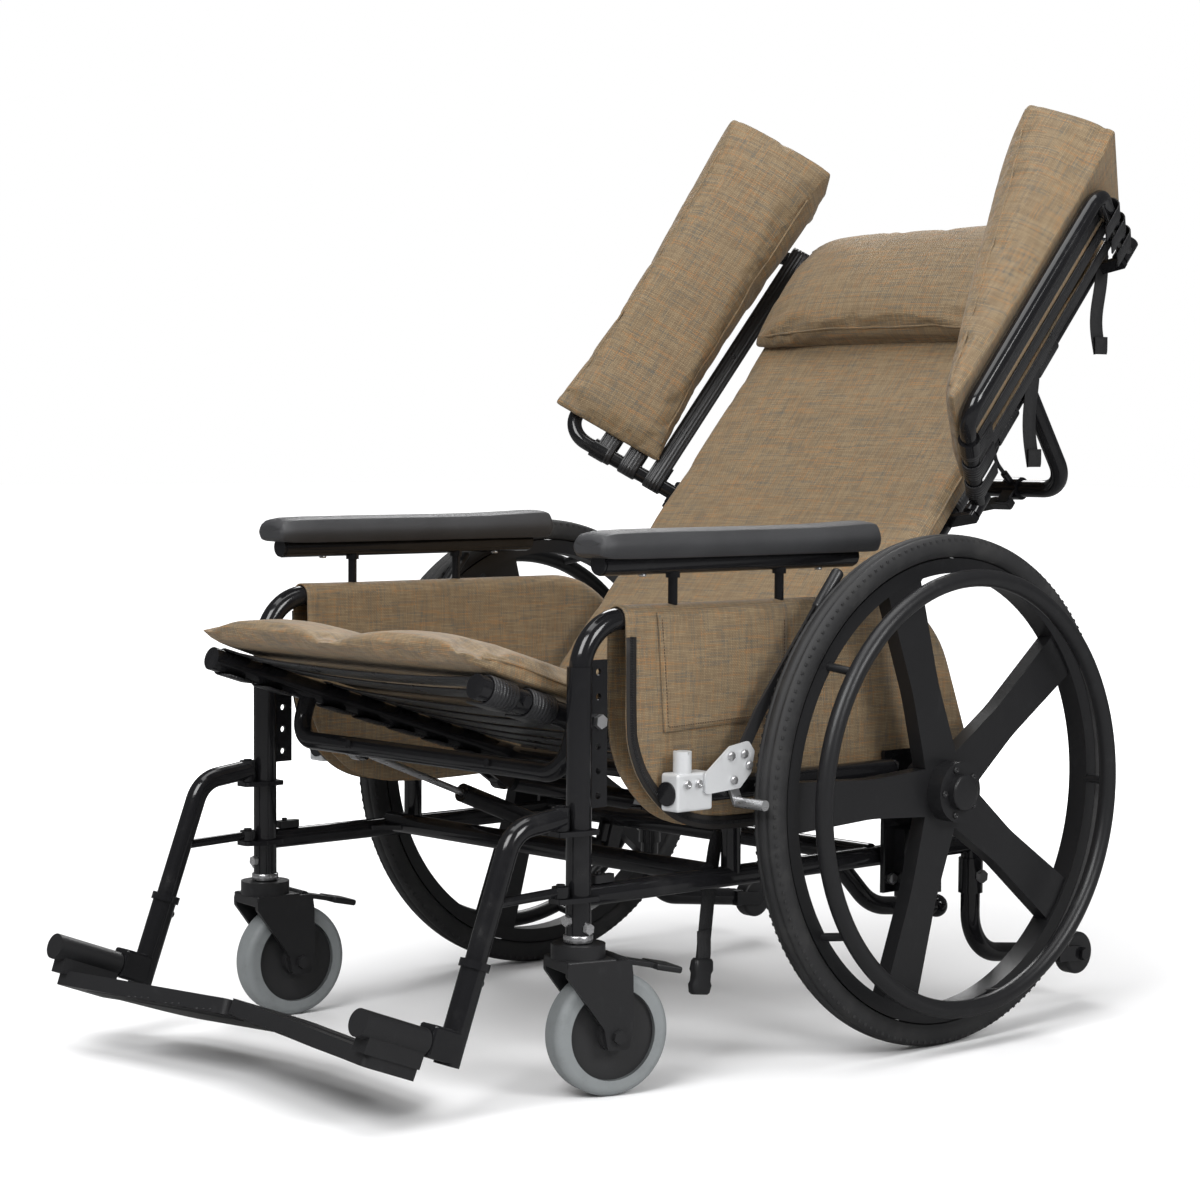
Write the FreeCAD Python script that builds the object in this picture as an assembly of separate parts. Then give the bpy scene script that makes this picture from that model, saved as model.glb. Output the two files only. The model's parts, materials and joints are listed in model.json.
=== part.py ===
"""Tilt-in-space wheelchair: seat that tilts, back that reclines, side wings, swing-away footrests, large rear wheels.

Millimetres, +Z up. The chair faces -Y and +X is the sitter's left. While modelling, y 0 is the plane of the two
front posts, x 0 the middle plane and z 0 the floor. Export moves the origin to the middle of the bounding box's base.
"""
import FreeCAD, Part
import math
import os

os.makedirs("parts", exist_ok=True)
V = FreeCAD.Vector

# Fits and gaps
RUN = 0.05            # radial clearance of a turning or sliding fit
FACE_GAP = 0.6        # gap between faces that turn past each other

# Side frames
POST_SPACING = 536.0
SIDE = POST_SPACING / 2
TUBE = 23.0
RAIL_D = 22.0
UPRIGHT_D = 21.0
SLEEVE = 26.0
SLEEVE_TOP = 434.0
POST_BOTTOM = 157.0
RAIL_Z = 203.0
TOP_Z = 480.0
LEG_Y = 602.0
LEG_CORNER = (510.0, 480.0)
LEG_KNEE_Z = 249.0
LEG_BOTTOM = 146.0
TOP_BEND = 55.0
REAR_BEND = 120.0
UPRIGHT_Y = 215.0
PIVOT_Y = 24.0
PIVOT_Z = 378.0
STRIP_LONG = 149.0
STRIP_TOP = 440.0
HOLE_PITCH = 25.0
CROSS_Y = (180.0, 432.0)
CROSS_Z = (209.0, 206.0)

# Frame fittings
LOCK_RAIL_X = SIDE + 28.7
LOCK_RAIL_Z = 301.6
LOCK_RAIL_D = 25.0
LOCK_RAIL_FRONT = 92.7
BRACKET_X = SIDE + 16.5
BRACKET_Y = (430.0, 503.0)
BRACKET_Z = (165.0, 322.0)
PLATE_TWO = (BRACKET_X + 5.0, BRACKET_X + 19.5)
PLATE_TWO_Y = 479.0
PIVOT_BOLT = 8.0
STEM_D = 12.0
STEM_LONG = 50.0
SOCKET_BOTTOM = 392.0
HANGER_PIN = 9.0
PIN_PLATE = 5.0
LATCH_Y = 27.0
LATCH_PIN = 6.0
LATCH_T = 8.0
RECEIVER_LONG = 40.0
TILT_LOW = (415.0, 165.0)
TILT_HIGH = (44.0, 312.0)
TILT_SPRING_X = -150.0
RECLINE_LOW = (38.0, -66.0)
RECLINE_HIGH = (50.0, -60.0)
RECLINE_SPRING_X = 100.0
SPRING_D = 22.0
SPRING_ROD = 8.0
SPRING_EYE = 22.0
SPRING_EYE_BORE = 16.0
SPRING_PIN = 6.0
LUG_T = 5.0
LUG_OUT = 12.0
LUGS = (-LUG_OUT, LUG_OUT - LUG_T)
LEVER_PATH = ((432.0, 206.0), (508.0, 132.0), (621.0, 120.0))
LEVER_X = SIDE - 68.0
BELT_PATH = ((214.0, 246.0), (207.0, 232.0), (190.0, 116.0))
BELT_X = SIDE - 16.0
BELT_W = 20.0

# Side panels
PANEL_GAP = 0.5
PANEL_T = 2.2
PANEL_FRONT = 50.0
PANEL_EDGE = ((51.0, 379.0), (66.0, 326.0), (100.0, 284.0), (154.0, 258.0), (262.0, 256.0), (420.0, 260.0))
PANEL_ROUND = 105.0
PANEL_LOW = 263.0
POCKET = ((92.0, 478.0), (99.0, 384.0), (104.0, 362.0), (280.0, 370.0), (278.0, 478.0))
POCKET_T = 4.0
ZIP_W = 14.0

# Wheel locks
LOCK_X = LOCK_RAIL_X + 13.3
LOCK_T = 3.4
LOCK_PLATE_T = 2.0
HANDLE_PIVOT = (185.0, 338.0)
HANDLE_KNEE = (212.0, 380.0)
GRIP_START = (297.0, 482.0)
GRIP_END = (331.0, 523.0)
GRIP_D = 14.0
SHOE_PIVOT = (170.0, 312.0)
SHOE_AT = (180.5, 288.0)
SHOE_D = 11.0
SHOE_REACH = LOCK_X + 42.0
LOCK_PIN = 6.0
BARREL_D = 19.0

# Wheels
WHEEL_D = 560.0
WHEEL_Y = 471.5
WHEEL_X = SIDE + 67.0
TYRE_W = 32.0
TYRE_H = 26.0
RIM_H = 16.0
RIM_W = 25.0
HUB_D = 66.0
HUB_IN = 28.0
HUB_CAP = 34.0
BLADE_T = 18.0
AXLE_D = 12.7
BLADES = 5
TAB_ANGLE = 53.0
HANDRIM_D = 468.0
HANDRIM_TUBE = 19.0
HANDRIM_OUT = 46.0
CASTER_D = 127.0
CASTER_W = 33.0
CASTER_TRAIL = 32.0
CASTER_HUB_D = 94.0
CASTER_TURN = {1: -15.6, -1: -6.9}
FORK_T = 6.0
PEDAL_PIVOT = (40.0, 137.0)
PEDAL_END = 111.0
PEDAL_SLOPE = 12.0
ANTITIP_D = 50.0
ANTITIP_W = 20.0
ANTITIP_Y = 790.0
ANTITIP_Z = 55.0

# Seat and back
TILT = 17.5
SEAT_TUBE = 26.0
SEAT_IN = 41.0
SEAT_HALF = SIDE - SEAT_IN
PIVOT_IN = SEAT_HALF + 7.0
SEAT_FRONT = -127.5
SEAT_REAR = 366.0
CUSHION_HALF = SEAT_HALF + 8.0
CUSHION_FRONT = -162.0
CUSHION_REAR = 308.0
CUSHION_SIDE = 44.0
CUSHION_CROWN = 9.0
STRAP_T = 2.4
SEAT_STRAP_W = 35.0
SEAT_STRAPS = (2, 5)
SEAT_STRAP_PITCH = 53.0
SEAT_STRAP_FROM = (-101.0, 45.0)
HINGE_S = 360.8
HINGE_M = 13.0
HINGE_PIN = 10.0
SEAT_BOLT = -75.0
DROP_S = 9.5
DROP_M = -56.8
DROP_D = 20.0
REAR_BAR_S = 322.0
BACK_ANGLE = 48.5
CANE_HALF = SEAT_HALF - 27.0
CANE_D = 22.0
CANE_DEPTH = 46.0
CANE_TOP = 800.0
HINGE_T = -11.3
BACK_LOW = 12.0
BACK_HIGH = CANE_TOP - 5.0
BACK_STRAP_W = 50.0
BACK_STRAPS = 6
BACK_STRAP_FROM = 90.0
PILLOW = (583.0, 768.0)
PILLOW_HALF = CANE_HALF + 26.0
PILLOW_DEEP = 52.0
HANDLE_D = 21.0
HANDLE_OUT = 193.5
HANDLE_T = 548.0
PERCH_X = 118.0
LEVER_T = HANDLE_T - 23
LOW_BAR_T = 48.0
MID_BAR_T = 372.0
TOP_BAR_T = CANE_TOP - 28.0
CABLE_D = 5.0
FERRULE_X = CANE_HALF - 16.0
CABLE_END = (74.0, 62.0)
CABLE_POINTS = (
    (118.0, 165.0, 548.0), (118.0, 146.0, 548.0), (128.0, 118.0, 550.0), (152.0, 96.0, 545.0), (174.0, 84.0, 521.0),
    (184.0, 78.0, 480.0), (185.5, 74.0, 428.0), (185.5, 71.5, 366.0), (185.3, 70.5, 301.0), (185.0, 70.5, 236.0),
    (184.6, 71.3, 171.0), (184.2, 72.7, 115.0), (184.0, 74.0, 62.0),
)
TAIL_X = CANE_HALF + 16.0
TAILS = ((668.0, 178.0), (800.0, 140.0))

# Wings
WING_HINGE_X = CANE_HALF + 49.0
WING_HINGE_DEPTH = 34.0
WING_TUBE = 18.5
WING_REACH = 165.0
WING_LOW = 389.0
WING_TOP = CANE_TOP - 10.0
WING_BEND_T = WING_TOP - 54.0
WING_SWING = {1: 27.0, -1: 42.0}
WING_PAD_LOW = {1: 394.0, -1: 428.0}
WING_PAD_LONG = 393.0
WING_PAD_W = (44.0, 193.0)
WING_PAD_H = 12.0
WING_PAD_THICK = 121.0
WING_PLATES = (WING_LOW - 22.4, WING_TOP - 21.0)
WING_PIN = 10.0
WING_SLEEVE = 20.0
WING_SLEEVE_LONG = 30.0
WING_PLATE_T = 6.0
WING_STRAPS = (47.0, 86.0)
WING_STRAP_W = 24.0

# Armrests
ARM_X = SIDE + 2.0
ARM_Z = 536.0
ARM_TUBE = 24.0
ARM_FRONT = 25.0
ARM_REAR = 392.0
ARM_POSTS = (126.0, 282.0)
ARM_POST_D = 10.0
PAD_W = 58.0
PAD_FRONT = 8.0
PAD_REAR = 417.0
PAD_TOP = 571.0
PAD_BOTTOM = 541.0

# Footrests
HANGER_Y = -24.0
HANGER_TUBE = 22.0
HANGER_BEND_Y = -87.0
HANGER_Z = (285.0, 277.0)
HANGER_ANGLE = 69.3
HANGER_DIP = 2.8
HANGER_LOW = 195.0
LINK_L = 75.0
SLEEVE_D = 26.0
SLEEVE_FROM = 132.0
SLEEVE_TO = 236.0
KNOB_D = 27.7
KNOB_L = 221.0
KNOB_B = 113.0
PLATE_T = 16.0
PLATE_DROP = 22.0
PLATE_TIP = {1: -14.0, -1: 18.0}
PLATE_RISE = 3.5
PLATE_FRONT = 104.0
BUTTON_L = 151.0
BARREL_FROM = 37.0


def unit(v):
    """Copy of a vector at length 1."""
    return V(v).normalize()


def route(points, radii):
    """Wire of straight runs through the points, joined by tangent arcs of the given radii."""
    edges = []
    start = points[0]
    for i, radius in enumerate(radii):
        corner = points[i + 1]
        back = unit(points[i] - corner)
        ahead = unit(points[i + 2] - corner)
        half = back.getAngle(ahead) / 2
        reach = radius / math.tan(half)
        first = corner + back * reach
        last = corner + ahead * reach
        middle = corner + unit(back + ahead) * (radius / math.sin(half) - radius)
        if (first - start).Length > 0.001:
            edges.append(Part.LineSegment(start, first).toShape())
        edges.append(Part.Arc(first, middle, last).toShape())
        start = last
    edges.append(Part.LineSegment(start, points[-1]).toShape())
    return Part.Wire(edges)


def tube(points, diameter, radii=()):
    """Round bar along a route."""
    profile = Part.Wire([Part.makeCircle(diameter / 2, points[0], points[1] - points[0])])
    return route(points, radii).makePipeShell([profile], True, False)


def rod(start, end, diameter):
    """Round bar between two points."""
    return Part.makeCylinder(diameter / 2, (end - start).Length, start, end - start)


def ring(start, end, outer, inner):
    """Bored bar between two points."""
    return rod(start, end, outer).cut(rod(start, end, inner))


def bar_x(x0, x1, y, z, diameter):
    """Round bar along X."""
    return rod(V(x0, y, z), V(x1, y, z), diameter)


def block(x0, x1, y0, y1, z0, z1, edge=0):
    """Box between two corners with its edges rounded."""
    solid = Part.makeBox(x1 - x0, y1 - y0, z1 - z0, V(x0, y0, z0))
    return solid.makeFillet(edge, solid.Edges) if edge else solid


def outline(points, radius):
    """Closed wire through the corners, each rounded by the radius, or by its own radius in a list."""
    count = len(points)
    radii = radius if isinstance(radius, (list, tuple)) else [radius] * count
    ends = []
    for i, corner in enumerate(points):
        back = unit(points[i - 1] - corner)
        ahead = unit(points[(i + 1) % count] - corner)
        half = back.getAngle(ahead) / 2
        reach = radii[i] / math.tan(half)
        middle = corner + unit(back + ahead) * (radii[i] / math.sin(half) - radii[i])
        ends.append((corner + back * reach, middle, corner + ahead * reach))
    edges = []
    for i, (first, middle, last) in enumerate(ends):
        if (first - last).Length > 0.001:
            edges.append(Part.Arc(first, middle, last).toShape())
        following = ends[(i + 1) % count][0]
        if (following - last).Length > 0.001:
            edges.append(Part.LineSegment(last, following).toShape())
    return Part.Wire(edges)


def plate_x(points, radius, x, thickness):
    """Flat plate from (y, z) corners, from x to x + thickness."""
    wire = outline([V(x, y, z) for y, z in points], radius)
    return Part.Face(wire).extrude(V(thickness, 0, 0))


def plate_z(points, radius, z, thickness):
    """Flat plate from (x, y) corners, from z to z + thickness."""
    wire = outline([V(x, y, z) for x, y in points], radius)
    return Part.Face(wire).extrude(V(0, 0, thickness))


def ribbon(points, radii, thickness, width, along):
    """Flat band that follows a route in a plane, with its width along the plane's normal."""
    side = unit(along) * (width / 2)
    ahead = unit(points[1] - points[0])
    up = unit(V(along).cross(ahead)) * (thickness / 2)
    corners = [points[0] + side + up, points[0] - side + up, points[0] - side - up, points[0] + side - up]
    profile = Part.makePolygon(corners + [corners[0]])
    return route(points, radii).makePipeShell([profile], True, False)


def hexagon(base, axis, across, high):
    """Bolt head standing on base along axis."""
    away = unit(axis)
    side = unit(away.cross(V(0.31, 0.57, 0.76)))
    turn = FreeCAD.Rotation(away, 60)
    corners = [base + side * (across / math.sqrt(3))]
    for _ in range(5):
        corners.append(base + turn.multVec(corners[-1] - base))
    return Part.Face(Part.makePolygon(corners + [corners[0]])).extrude(away * high)


def bolt(base, axis, across, high, shank, deep):
    """Hexagon head on a face with its shank going into it."""
    away = unit(axis)
    return fuse([hexagon(base, away, across, high), rod(base - away * deep, base, shank)])


def fuse(shapes):
    """One solid out of shapes that touch."""
    joined = shapes[0].multiFuse(shapes[1:]) if len(shapes) > 1 else shapes[0]
    return joined.removeSplitter()


def cut_by(shape, tools):
    """Shape with the room that the tools take removed."""
    for tool in tools:
        shape = shape.cut(tool)
    return shape


def moved(shape, placement):
    """Copy of a shape carried by a placement."""
    copy = shape.copy()
    copy.Placement = placement.multiply(copy.Placement)
    return copy


def mirrored(shape, side):
    """The shape itself on the left, its mirror image on the right."""
    return shape if side > 0 else shape.mirror(V(0, 0, 0), V(1, 0, 0))


def turn_about_x(y, z, degrees):
    """Placement that takes local X, Y, Z to a frame at (y, z) turned about X."""
    return FreeCAD.Placement(V(0, y, z), FreeCAD.Rotation(V(1, 0, 0), degrees))


AXLE_Z = WHEEL_D / 2
SEAT = turn_about_x(PIVOT_Y, PIVOT_Z, -TILT)
LATCH_Z = RAIL_Z + RAIL_D / 2 + FACE_GAP
HANGER_PLATES = (HANGER_Z[0] - HANGER_TUBE / 2 - HANGER_DIP - PIN_PLATE, 199.0)
HINGE = SEAT.multVec(V(0, HINGE_S, HINGE_M))
BACK_TURN = FreeCAD.Rotation(V(1, 0, 0), BACK_ANGLE - 90)
BACK = FreeCAD.Placement(HINGE - BACK_TURN.multVec(V(0, CANE_DEPTH, HINGE_T)), BACK_TURN)
HANGER_TURN = FreeCAD.Rotation(V(1, 0, 0), HANGER_ANGLE - 90)
NAMES = {1: "left", -1: "right"}


def wing_place(side):
    """Placement of a left-hand wing in the back's frame: local -Y reaches forward, Z runs up the back."""
    swing = FreeCAD.Rotation(V(0, 0, 1), WING_SWING[side])
    return BACK.multiply(FreeCAD.Placement(V(WING_HINGE_X, WING_HINGE_DEPTH, 0), swing))


# Side frames

def frame_path():
    """Middle line of the loop from the front post over the top to the rear leg."""
    points = [
        V(SIDE, 0, POST_BOTTOM),
        V(SIDE, 0, TOP_Z),
        V(SIDE, *LEG_CORNER),
        V(SIDE, LEG_Y, LEG_KNEE_Z),
        V(SIDE, LEG_Y, LEG_BOTTOM),
    ]
    return points, (TOP_BEND, REAR_BEND, 40.0)


def strip_holes():
    """Heights of the holes in the strip behind the post, from the top down."""
    first = STRIP_TOP - 12
    return [first - i * HOLE_PITCH for i in range(6)]


def side_frame(bolts):
    """Left side frame: loop, rail, uprights, strip, wheel-lock rail, hinge plates and arm sockets."""
    points, radii = frame_path()
    strip = block(SIDE - 2, SIDE + 2, TUBE / 2 - 2, PIVOT_Y + 12, STRIP_TOP - STRIP_LONG, STRIP_TOP)
    pieces = [
        tube(points, TUBE, radii),
        rod(V(SIDE, 0, POST_BOTTOM), V(SIDE, 0, SLEEVE_TOP), SLEEVE),
        rod(V(SIDE, 0, RAIL_Z), V(SIDE, LEG_Y, RAIL_Z), RAIL_D),
        rod(V(SIDE, UPRIGHT_Y, RAIL_Z), V(SIDE, UPRIGHT_Y, TOP_Z), UPRIGHT_D),
        rod(V(SIDE, WHEEL_Y, RAIL_Z), V(SIDE, WHEEL_Y, TOP_Z - TUBE / 2), UPRIGHT_D),
        rod(V(SIDE, LEG_Y, LEG_BOTTOM), V(SIDE, LEG_Y, LEG_BOTTOM + RECEIVER_LONG), SLEEVE + 2),
        bar_x(SIDE, LOCK_RAIL_X, UPRIGHT_Y, LOCK_RAIL_Z, 14),
        strip,
    ]
    for y in ARM_POSTS:
        pieces.append(rod(V(ARM_X, y, SOCKET_BOTTOM), V(ARM_X, y, TOP_Z), ARM_POST_D + 8))
    reach = HANGER_Y - 9
    corners = [(SIDE - 17, 16), (SIDE - 17, -8), (SIDE - 10, reach), (SIDE + 10, reach), (SIDE + 17, -8),
               (SIDE + 17, 16)]
    for z, high in zip(HANGER_PLATES, (HANGER_TUBE + PIN_PLATE + HANGER_DIP + 1, 19)):
        pieces.append(plate_z(corners, 5, z, PIN_PLATE))
        pieces.append(rod(V(SIDE, HANGER_Y, z), V(SIDE, HANGER_Y, z + high), HANGER_PIN))
    pieces.append(rod(V(SIDE, LATCH_Y, RAIL_Z), V(SIDE, LATCH_Y, LATCH_Z + LATCH_T + 3), LATCH_PIN))
    frame = fuse(pieces)
    rail_front = V(LOCK_RAIL_X, LOCK_RAIL_FRONT, LOCK_RAIL_Z)
    rail = rod(rail_front, V(LOCK_RAIL_X, BRACKET_Y[0], LOCK_RAIL_Z), LOCK_RAIL_D)
    frame = frame.fuse(rail)
    bores = [rod(V(SIDE, 0, POST_BOTTOM), V(SIDE, 0, POST_BOTTOM + STEM_LONG + 5), STEM_D + 2 * RUN)]
    for y in ARM_POSTS:
        bores.append(rod(V(ARM_X, y, SOCKET_BOTTOM), V(ARM_X, y, TOP_Z + TUBE), ARM_POST_D + 2 * RUN))
    for z in strip_holes():
        if abs(z - PIVOT_Z) > 1:
            bores.append(bar_x(SIDE - 5, SIDE + 5, PIVOT_Y, z, 7))
    return cut_by(frame, bores + bolts)


def frame_bolts():
    """Left-hand bolts and screws of the frame, one solid each."""
    high = 5
    pieces = [
        bolt(V(SIDE + SLEEVE / 2, 0, 172), V(1, 0, 0), 10, high, 6, 5),
        bolt(V(SIDE, -SLEEVE / 2, 180), V(0, -1, 0), 10, high, 6, 5),
        bolt(V(SIDE + SLEEVE / 2 + 1, LEG_Y, LEG_BOTTOM + 20), V(1, 0, 0), 13, 6, 8, 6),
        bolt(V(SIDE + 2, PIVOT_Y, PIVOT_Z), V(1, 0, 0), 13, 6, PIVOT_BOLT, SIDE + 2 - PIVOT_IN),
    ]
    for y, z in ((BRACKET_Y[0] + 12, 305), (BRACKET_Y[1] - 12, 305), (BRACKET_Y[0] + 12, 180)):
        pieces.append(bolt(V(BRACKET_X + 5, y, z), V(1, 0, 0), 11, high, 6, 4))
    for z in (172, 223):
        pieces.append(bolt(V(PLATE_TWO[1], PLATE_TWO_Y, z), V(1, 0, 0), 11, high, 6, 5))
    return pieces


def axle_bracket(frame, bolts):
    """Left axle bracket: tall plate, lower plate, axle sleeve and the axle itself."""
    tall = block(BRACKET_X, BRACKET_X + 5, *BRACKET_Y, *BRACKET_Z, 0)
    low = block(*PLATE_TWO, 448, 510, 160, 235, 0)
    pieces = [
        tall,
        low,
        bar_x(SIDE, WHEEL_X - HUB_IN - FACE_GAP, WHEEL_Y, AXLE_Z, 30),
        bar_x(SIDE, WHEEL_X + HUB_CAP - 3, WHEEL_Y, AXLE_Z, AXLE_D),
        bar_x(SIDE, BRACKET_X, WHEEL_Y, BRACKET_Z[0] + 30 + 8, 14),
    ]
    return cut_by(fuse(pieces), [frame] + bolts)


# Panels of cloth

def side_panel(tools):
    """Left side panel: cloth casing over the top tube, outer and inner layers, zip band and pocket with its flap."""
    slope = (V(SIDE, LEG_Y, LEG_KNEE_Z) - V(SIDE, *LEG_CORNER)).normalize()
    end = V(SIDE, *LEG_CORNER) + slope * ((LEG_CORNER[1] - PANEL_LOW) / -slope.z)
    run = [V(SIDE, PANEL_FRONT, TOP_Z), V(SIDE, *LEG_CORNER), end]
    inner = TUBE / 2 + PANEL_GAP
    outer = inner + PANEL_T
    casing = tube(run, 2 * outer + 0.8, (REAR_BEND,)).cut(tube(run, 2 * inner, (REAR_BEND,)))
    corners = [(PANEL_FRONT, TOP_Z)] + list(PANEL_EDGE) + [(end.y, end.z), LEG_CORNER]
    radii = [0] + [PANEL_ROUND] * 4 + [0, 0, 0, REAR_BEND]
    layers = [plate_x(corners, radii, x, PANEL_T) for x in (SIDE + inner, SIDE - outer)]
    cloth = cut_by(fuse([casing] + layers), tools)
    face = SIDE + outer + 0.4
    band = [V(face + 0.8, y + 9, z + 7) for y, z in ((PANEL_EDGE[0][0], 444), *PANEL_EDGE[:5])]
    zip_band = ribbon(band, [PANEL_ROUND] * 4, ZIP_W, 1.6, V(1, 0, 0))
    pouch = [(y + 8 if y < 200 else y - 8, z) for y, z in POCKET]
    pocket = plate_x(pouch, 8, face, POCKET_T)
    flap = plate_x(POCKET, 10, face + POCKET_T, PANEL_T)
    return [cloth, zip_band, pocket, flap]


# Base fittings

def cross_tubes(frames):
    """Two cross tubes with their gussets, spring bracket and tipping lever."""
    pieces = []
    for y, z in zip(CROSS_Y, CROSS_Z):
        pieces.append(bar_x(-SIDE, SIDE, y, z, TUBE))
    lever = [V(LEVER_X, y, z) for y, z in LEVER_PATH]
    pieces.append(tube(lever, 21, (70,)))
    pieces.append(Part.makeSphere(13.5, lever[-1]))
    for side in (-1, 1):
        corner = side * (SIDE - TUBE / 2 + 1)
        corners = [(corner, CROSS_Y[0] - 44), (corner, CROSS_Y[0]), (corner - side * 34, CROSS_Y[0])]
        pieces.append(plate_z(corners, 3, RAIL_Z, 5))
    for offset in LUGS:
        x = TILT_SPRING_X + offset
        corners = [(CROSS_Y[1] + 9, CROSS_Z[1]), (TILT_LOW[0] + 9, TILT_LOW[1] - 10),
                   (TILT_LOW[0] - 9, TILT_LOW[1] - 8), (CROSS_Y[1] - 11, CROSS_Z[1])]
        pieces.append(plate_x(corners, 3, x, LUG_T))
    pieces.append(bar_x(TILT_SPRING_X - LUG_OUT, TILT_SPRING_X + LUG_OUT, *TILT_LOW, SPRING_PIN))
    return cut_by(fuse(pieces), frames)


def seat_belt(frame):
    """Belt half hanging by the left upright: anchor plate, webbing and buckle."""
    y, z = BELT_PATH[0]
    anchor = block(BELT_X, SIDE - UPRIGHT_D / 2 + 0.8, y - 9, y + 9, z - 14, z + 4, 1.5).cut(frame)
    points = [V(BELT_X, y, z) for y, z in BELT_PATH[:3]]
    strips = []
    for first, last in zip(points, points[1:]):
        side = unit((last - first).cross(V(1, 0, 0))) * (BELT_W / 2)
        corners = [first + side, last + side, last - side, first - side, first + side]
        strips.append(Part.Face(Part.makePolygon(corners)).extrude(V(-1.8, 0, 0)))
    webbing = fuse(strips).cut(anchor)
    low = points[-1]
    down = unit(points[-1] - points[-2])
    buckle = block(-7, 7, -14.5, 14.5, -19, 19, 3)
    turn = FreeCAD.Placement(low + down * 19 - V(0.9, 0, 0), FreeCAD.Rotation(V(0, 0, -1), down))
    return [anchor, webbing, moved(buckle, turn).cut(webbing)]


def antitip_arm():
    """Left anti-tip tube with its wheel fork and axle bolt."""
    end = V(SIDE, ANTITIP_Y - ANTITIP_D / 2 - 9, ANTITIP_Z + 4)
    points = [V(SIDE, LEG_Y, LEG_BOTTOM), V(SIDE, LEG_Y, ANTITIP_Z + 22), end]
    pieces = [tube(points, TUBE - 1, (52,))]
    half = ANTITIP_W / 2 + FACE_GAP
    pieces.append(block(SIDE - half - 4, SIDE + half + 4, end.y - 8, end.y + 3, end.z - 10, end.z + 10, 1))
    for x in (SIDE - half - 4, SIDE + half):
        corners = [(end.y - 8, end.z + 9), (end.y - 8, end.z - 9), (ANTITIP_Y, ANTITIP_Z - 9),
                   (ANTITIP_Y + 10, ANTITIP_Z), (ANTITIP_Y, ANTITIP_Z + 9)]
        pieces.append(plate_x(corners, 3, x, 4))
    pieces.append(bar_x(SIDE - half - 4, SIDE + half + 4, ANTITIP_Y, ANTITIP_Z, 8))
    pieces.append(hexagon(V(SIDE + half + 4, ANTITIP_Y, ANTITIP_Z), V(1, 0, 0), 13, 5))
    return fuse(pieces)


def antitip_wheel():
    """Left anti-tip wheel."""
    half = ANTITIP_W / 2
    wheel = ring(V(SIDE - half, ANTITIP_Y, ANTITIP_Z), V(SIDE + half, ANTITIP_Y, ANTITIP_Z), ANTITIP_D, 8 + 2 * RUN)
    return round_rims(wheel, ANTITIP_D / 2, 4)


def round_rims(wheel, radius, fillet):
    """Wheel with its outer edges rounded."""
    edges = [e for e in wheel.Edges if isinstance(e.Curve, Part.Circle) and abs(e.Curve.Radius - radius) < 0.1]
    return wheel.makeFillet(fillet, edges)


# Wheel locks

def lock_housing(frame):
    """Left clamp on the wheel-lock rail with its slotted barrel, screws and linkage plate."""
    y0 = LOCK_RAIL_FRONT + 2
    clamp = block(LOCK_RAIL_X - 10, LOCK_X + 2, y0, y0 + 50, LOCK_RAIL_Z - 18, LOCK_RAIL_Z + 21, 3)
    slot_top = LOCK_RAIL_Z + 43
    barrel = rod(V(LOCK_RAIL_X + 4, y0 + 17, LOCK_RAIL_Z + 15), V(LOCK_RAIL_X + 4, y0 + 17, slot_top), BARREL_D)
    barrel = barrel.cut(block(LOCK_RAIL_X - 20, LOCK_RAIL_X + 20, y0 + 15.5, y0 + 18.5, slot_top - 3, slot_top + 1))
    x = LOCK_X + LOCK_T + FACE_GAP
    corners = [(y0 + 36, 300), (y0 + 36, 322), (165, 347), (192, 351), (201, 340), (196, 318), (180, 303)]
    plate = plate_x(corners, 4, x, LOCK_PLATE_T)
    spacer = block(LOCK_X, x + 1, y0 + 37, y0 + 48, 303, 320)
    pieces = [clamp, barrel, plate, spacer]
    for y, z in (HANDLE_PIVOT, SHOE_PIVOT):
        pieces.append(bar_x(LOCK_X - 0.4, x + LOCK_PLATE_T + 1.2, y, z, LOCK_PIN))
    for y, z in ((166, 337), (192, 326)):
        pieces.append(bar_x(x, x + LOCK_PLATE_T + 1.2, y, z, 7))
    for y in (y0 + 12, y0 + 28):
        pieces.append(bar_x(LOCK_X, LOCK_X + 4, y, LOCK_RAIL_Z + 10, 8))
    return cut_by(fuse(pieces), [frame])


def lock_handle():
    """Left wheel-lock handle: bored boss, cranked lever and grip."""
    x = LOCK_X + LOCK_T / 2
    lever = ribbon([V(x, *p) for p in (HANDLE_PIVOT, HANDLE_KNEE, GRIP_START)], (20,), GRIP_D, LOCK_T, V(1, 0, 0))
    boss = bar_x(LOCK_X, LOCK_X + LOCK_T, *HANDLE_PIVOT, 18)
    grip = rod(V(x - 1, *GRIP_START), V(x - 1, *GRIP_END), GRIP_D)
    grip = grip.makeFillet(4, grip.Edges[:1] + grip.Edges[2:])
    bore = bar_x(LOCK_X - 1, LOCK_X + LOCK_T + 1, *HANDLE_PIVOT, LOCK_PIN + 2 * RUN)
    body = fuse([lever, boss]).cut(bore)
    return [body.cut(grip), grip]


def lock_shoe():
    """Left wheel-lock shoe: arm on its pivot and the bar that reaches across the tyre."""
    x = LOCK_X + LOCK_T / 2
    arm = ribbon([V(x, *SHOE_PIVOT), V(x, *SHOE_AT)], (), 12, LOCK_T, V(1, 0, 0))
    pieces = [
        arm,
        bar_x(LOCK_X, LOCK_X + LOCK_T, *SHOE_PIVOT, 15),
        bar_x(LOCK_X, SHOE_REACH, *SHOE_AT, SHOE_D),
    ]
    return fuse(pieces).cut(bar_x(LOCK_X - 1, LOCK_X + LOCK_T + 1, *SHOE_PIVOT, LOCK_PIN + 2 * RUN))


# Casters

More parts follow.
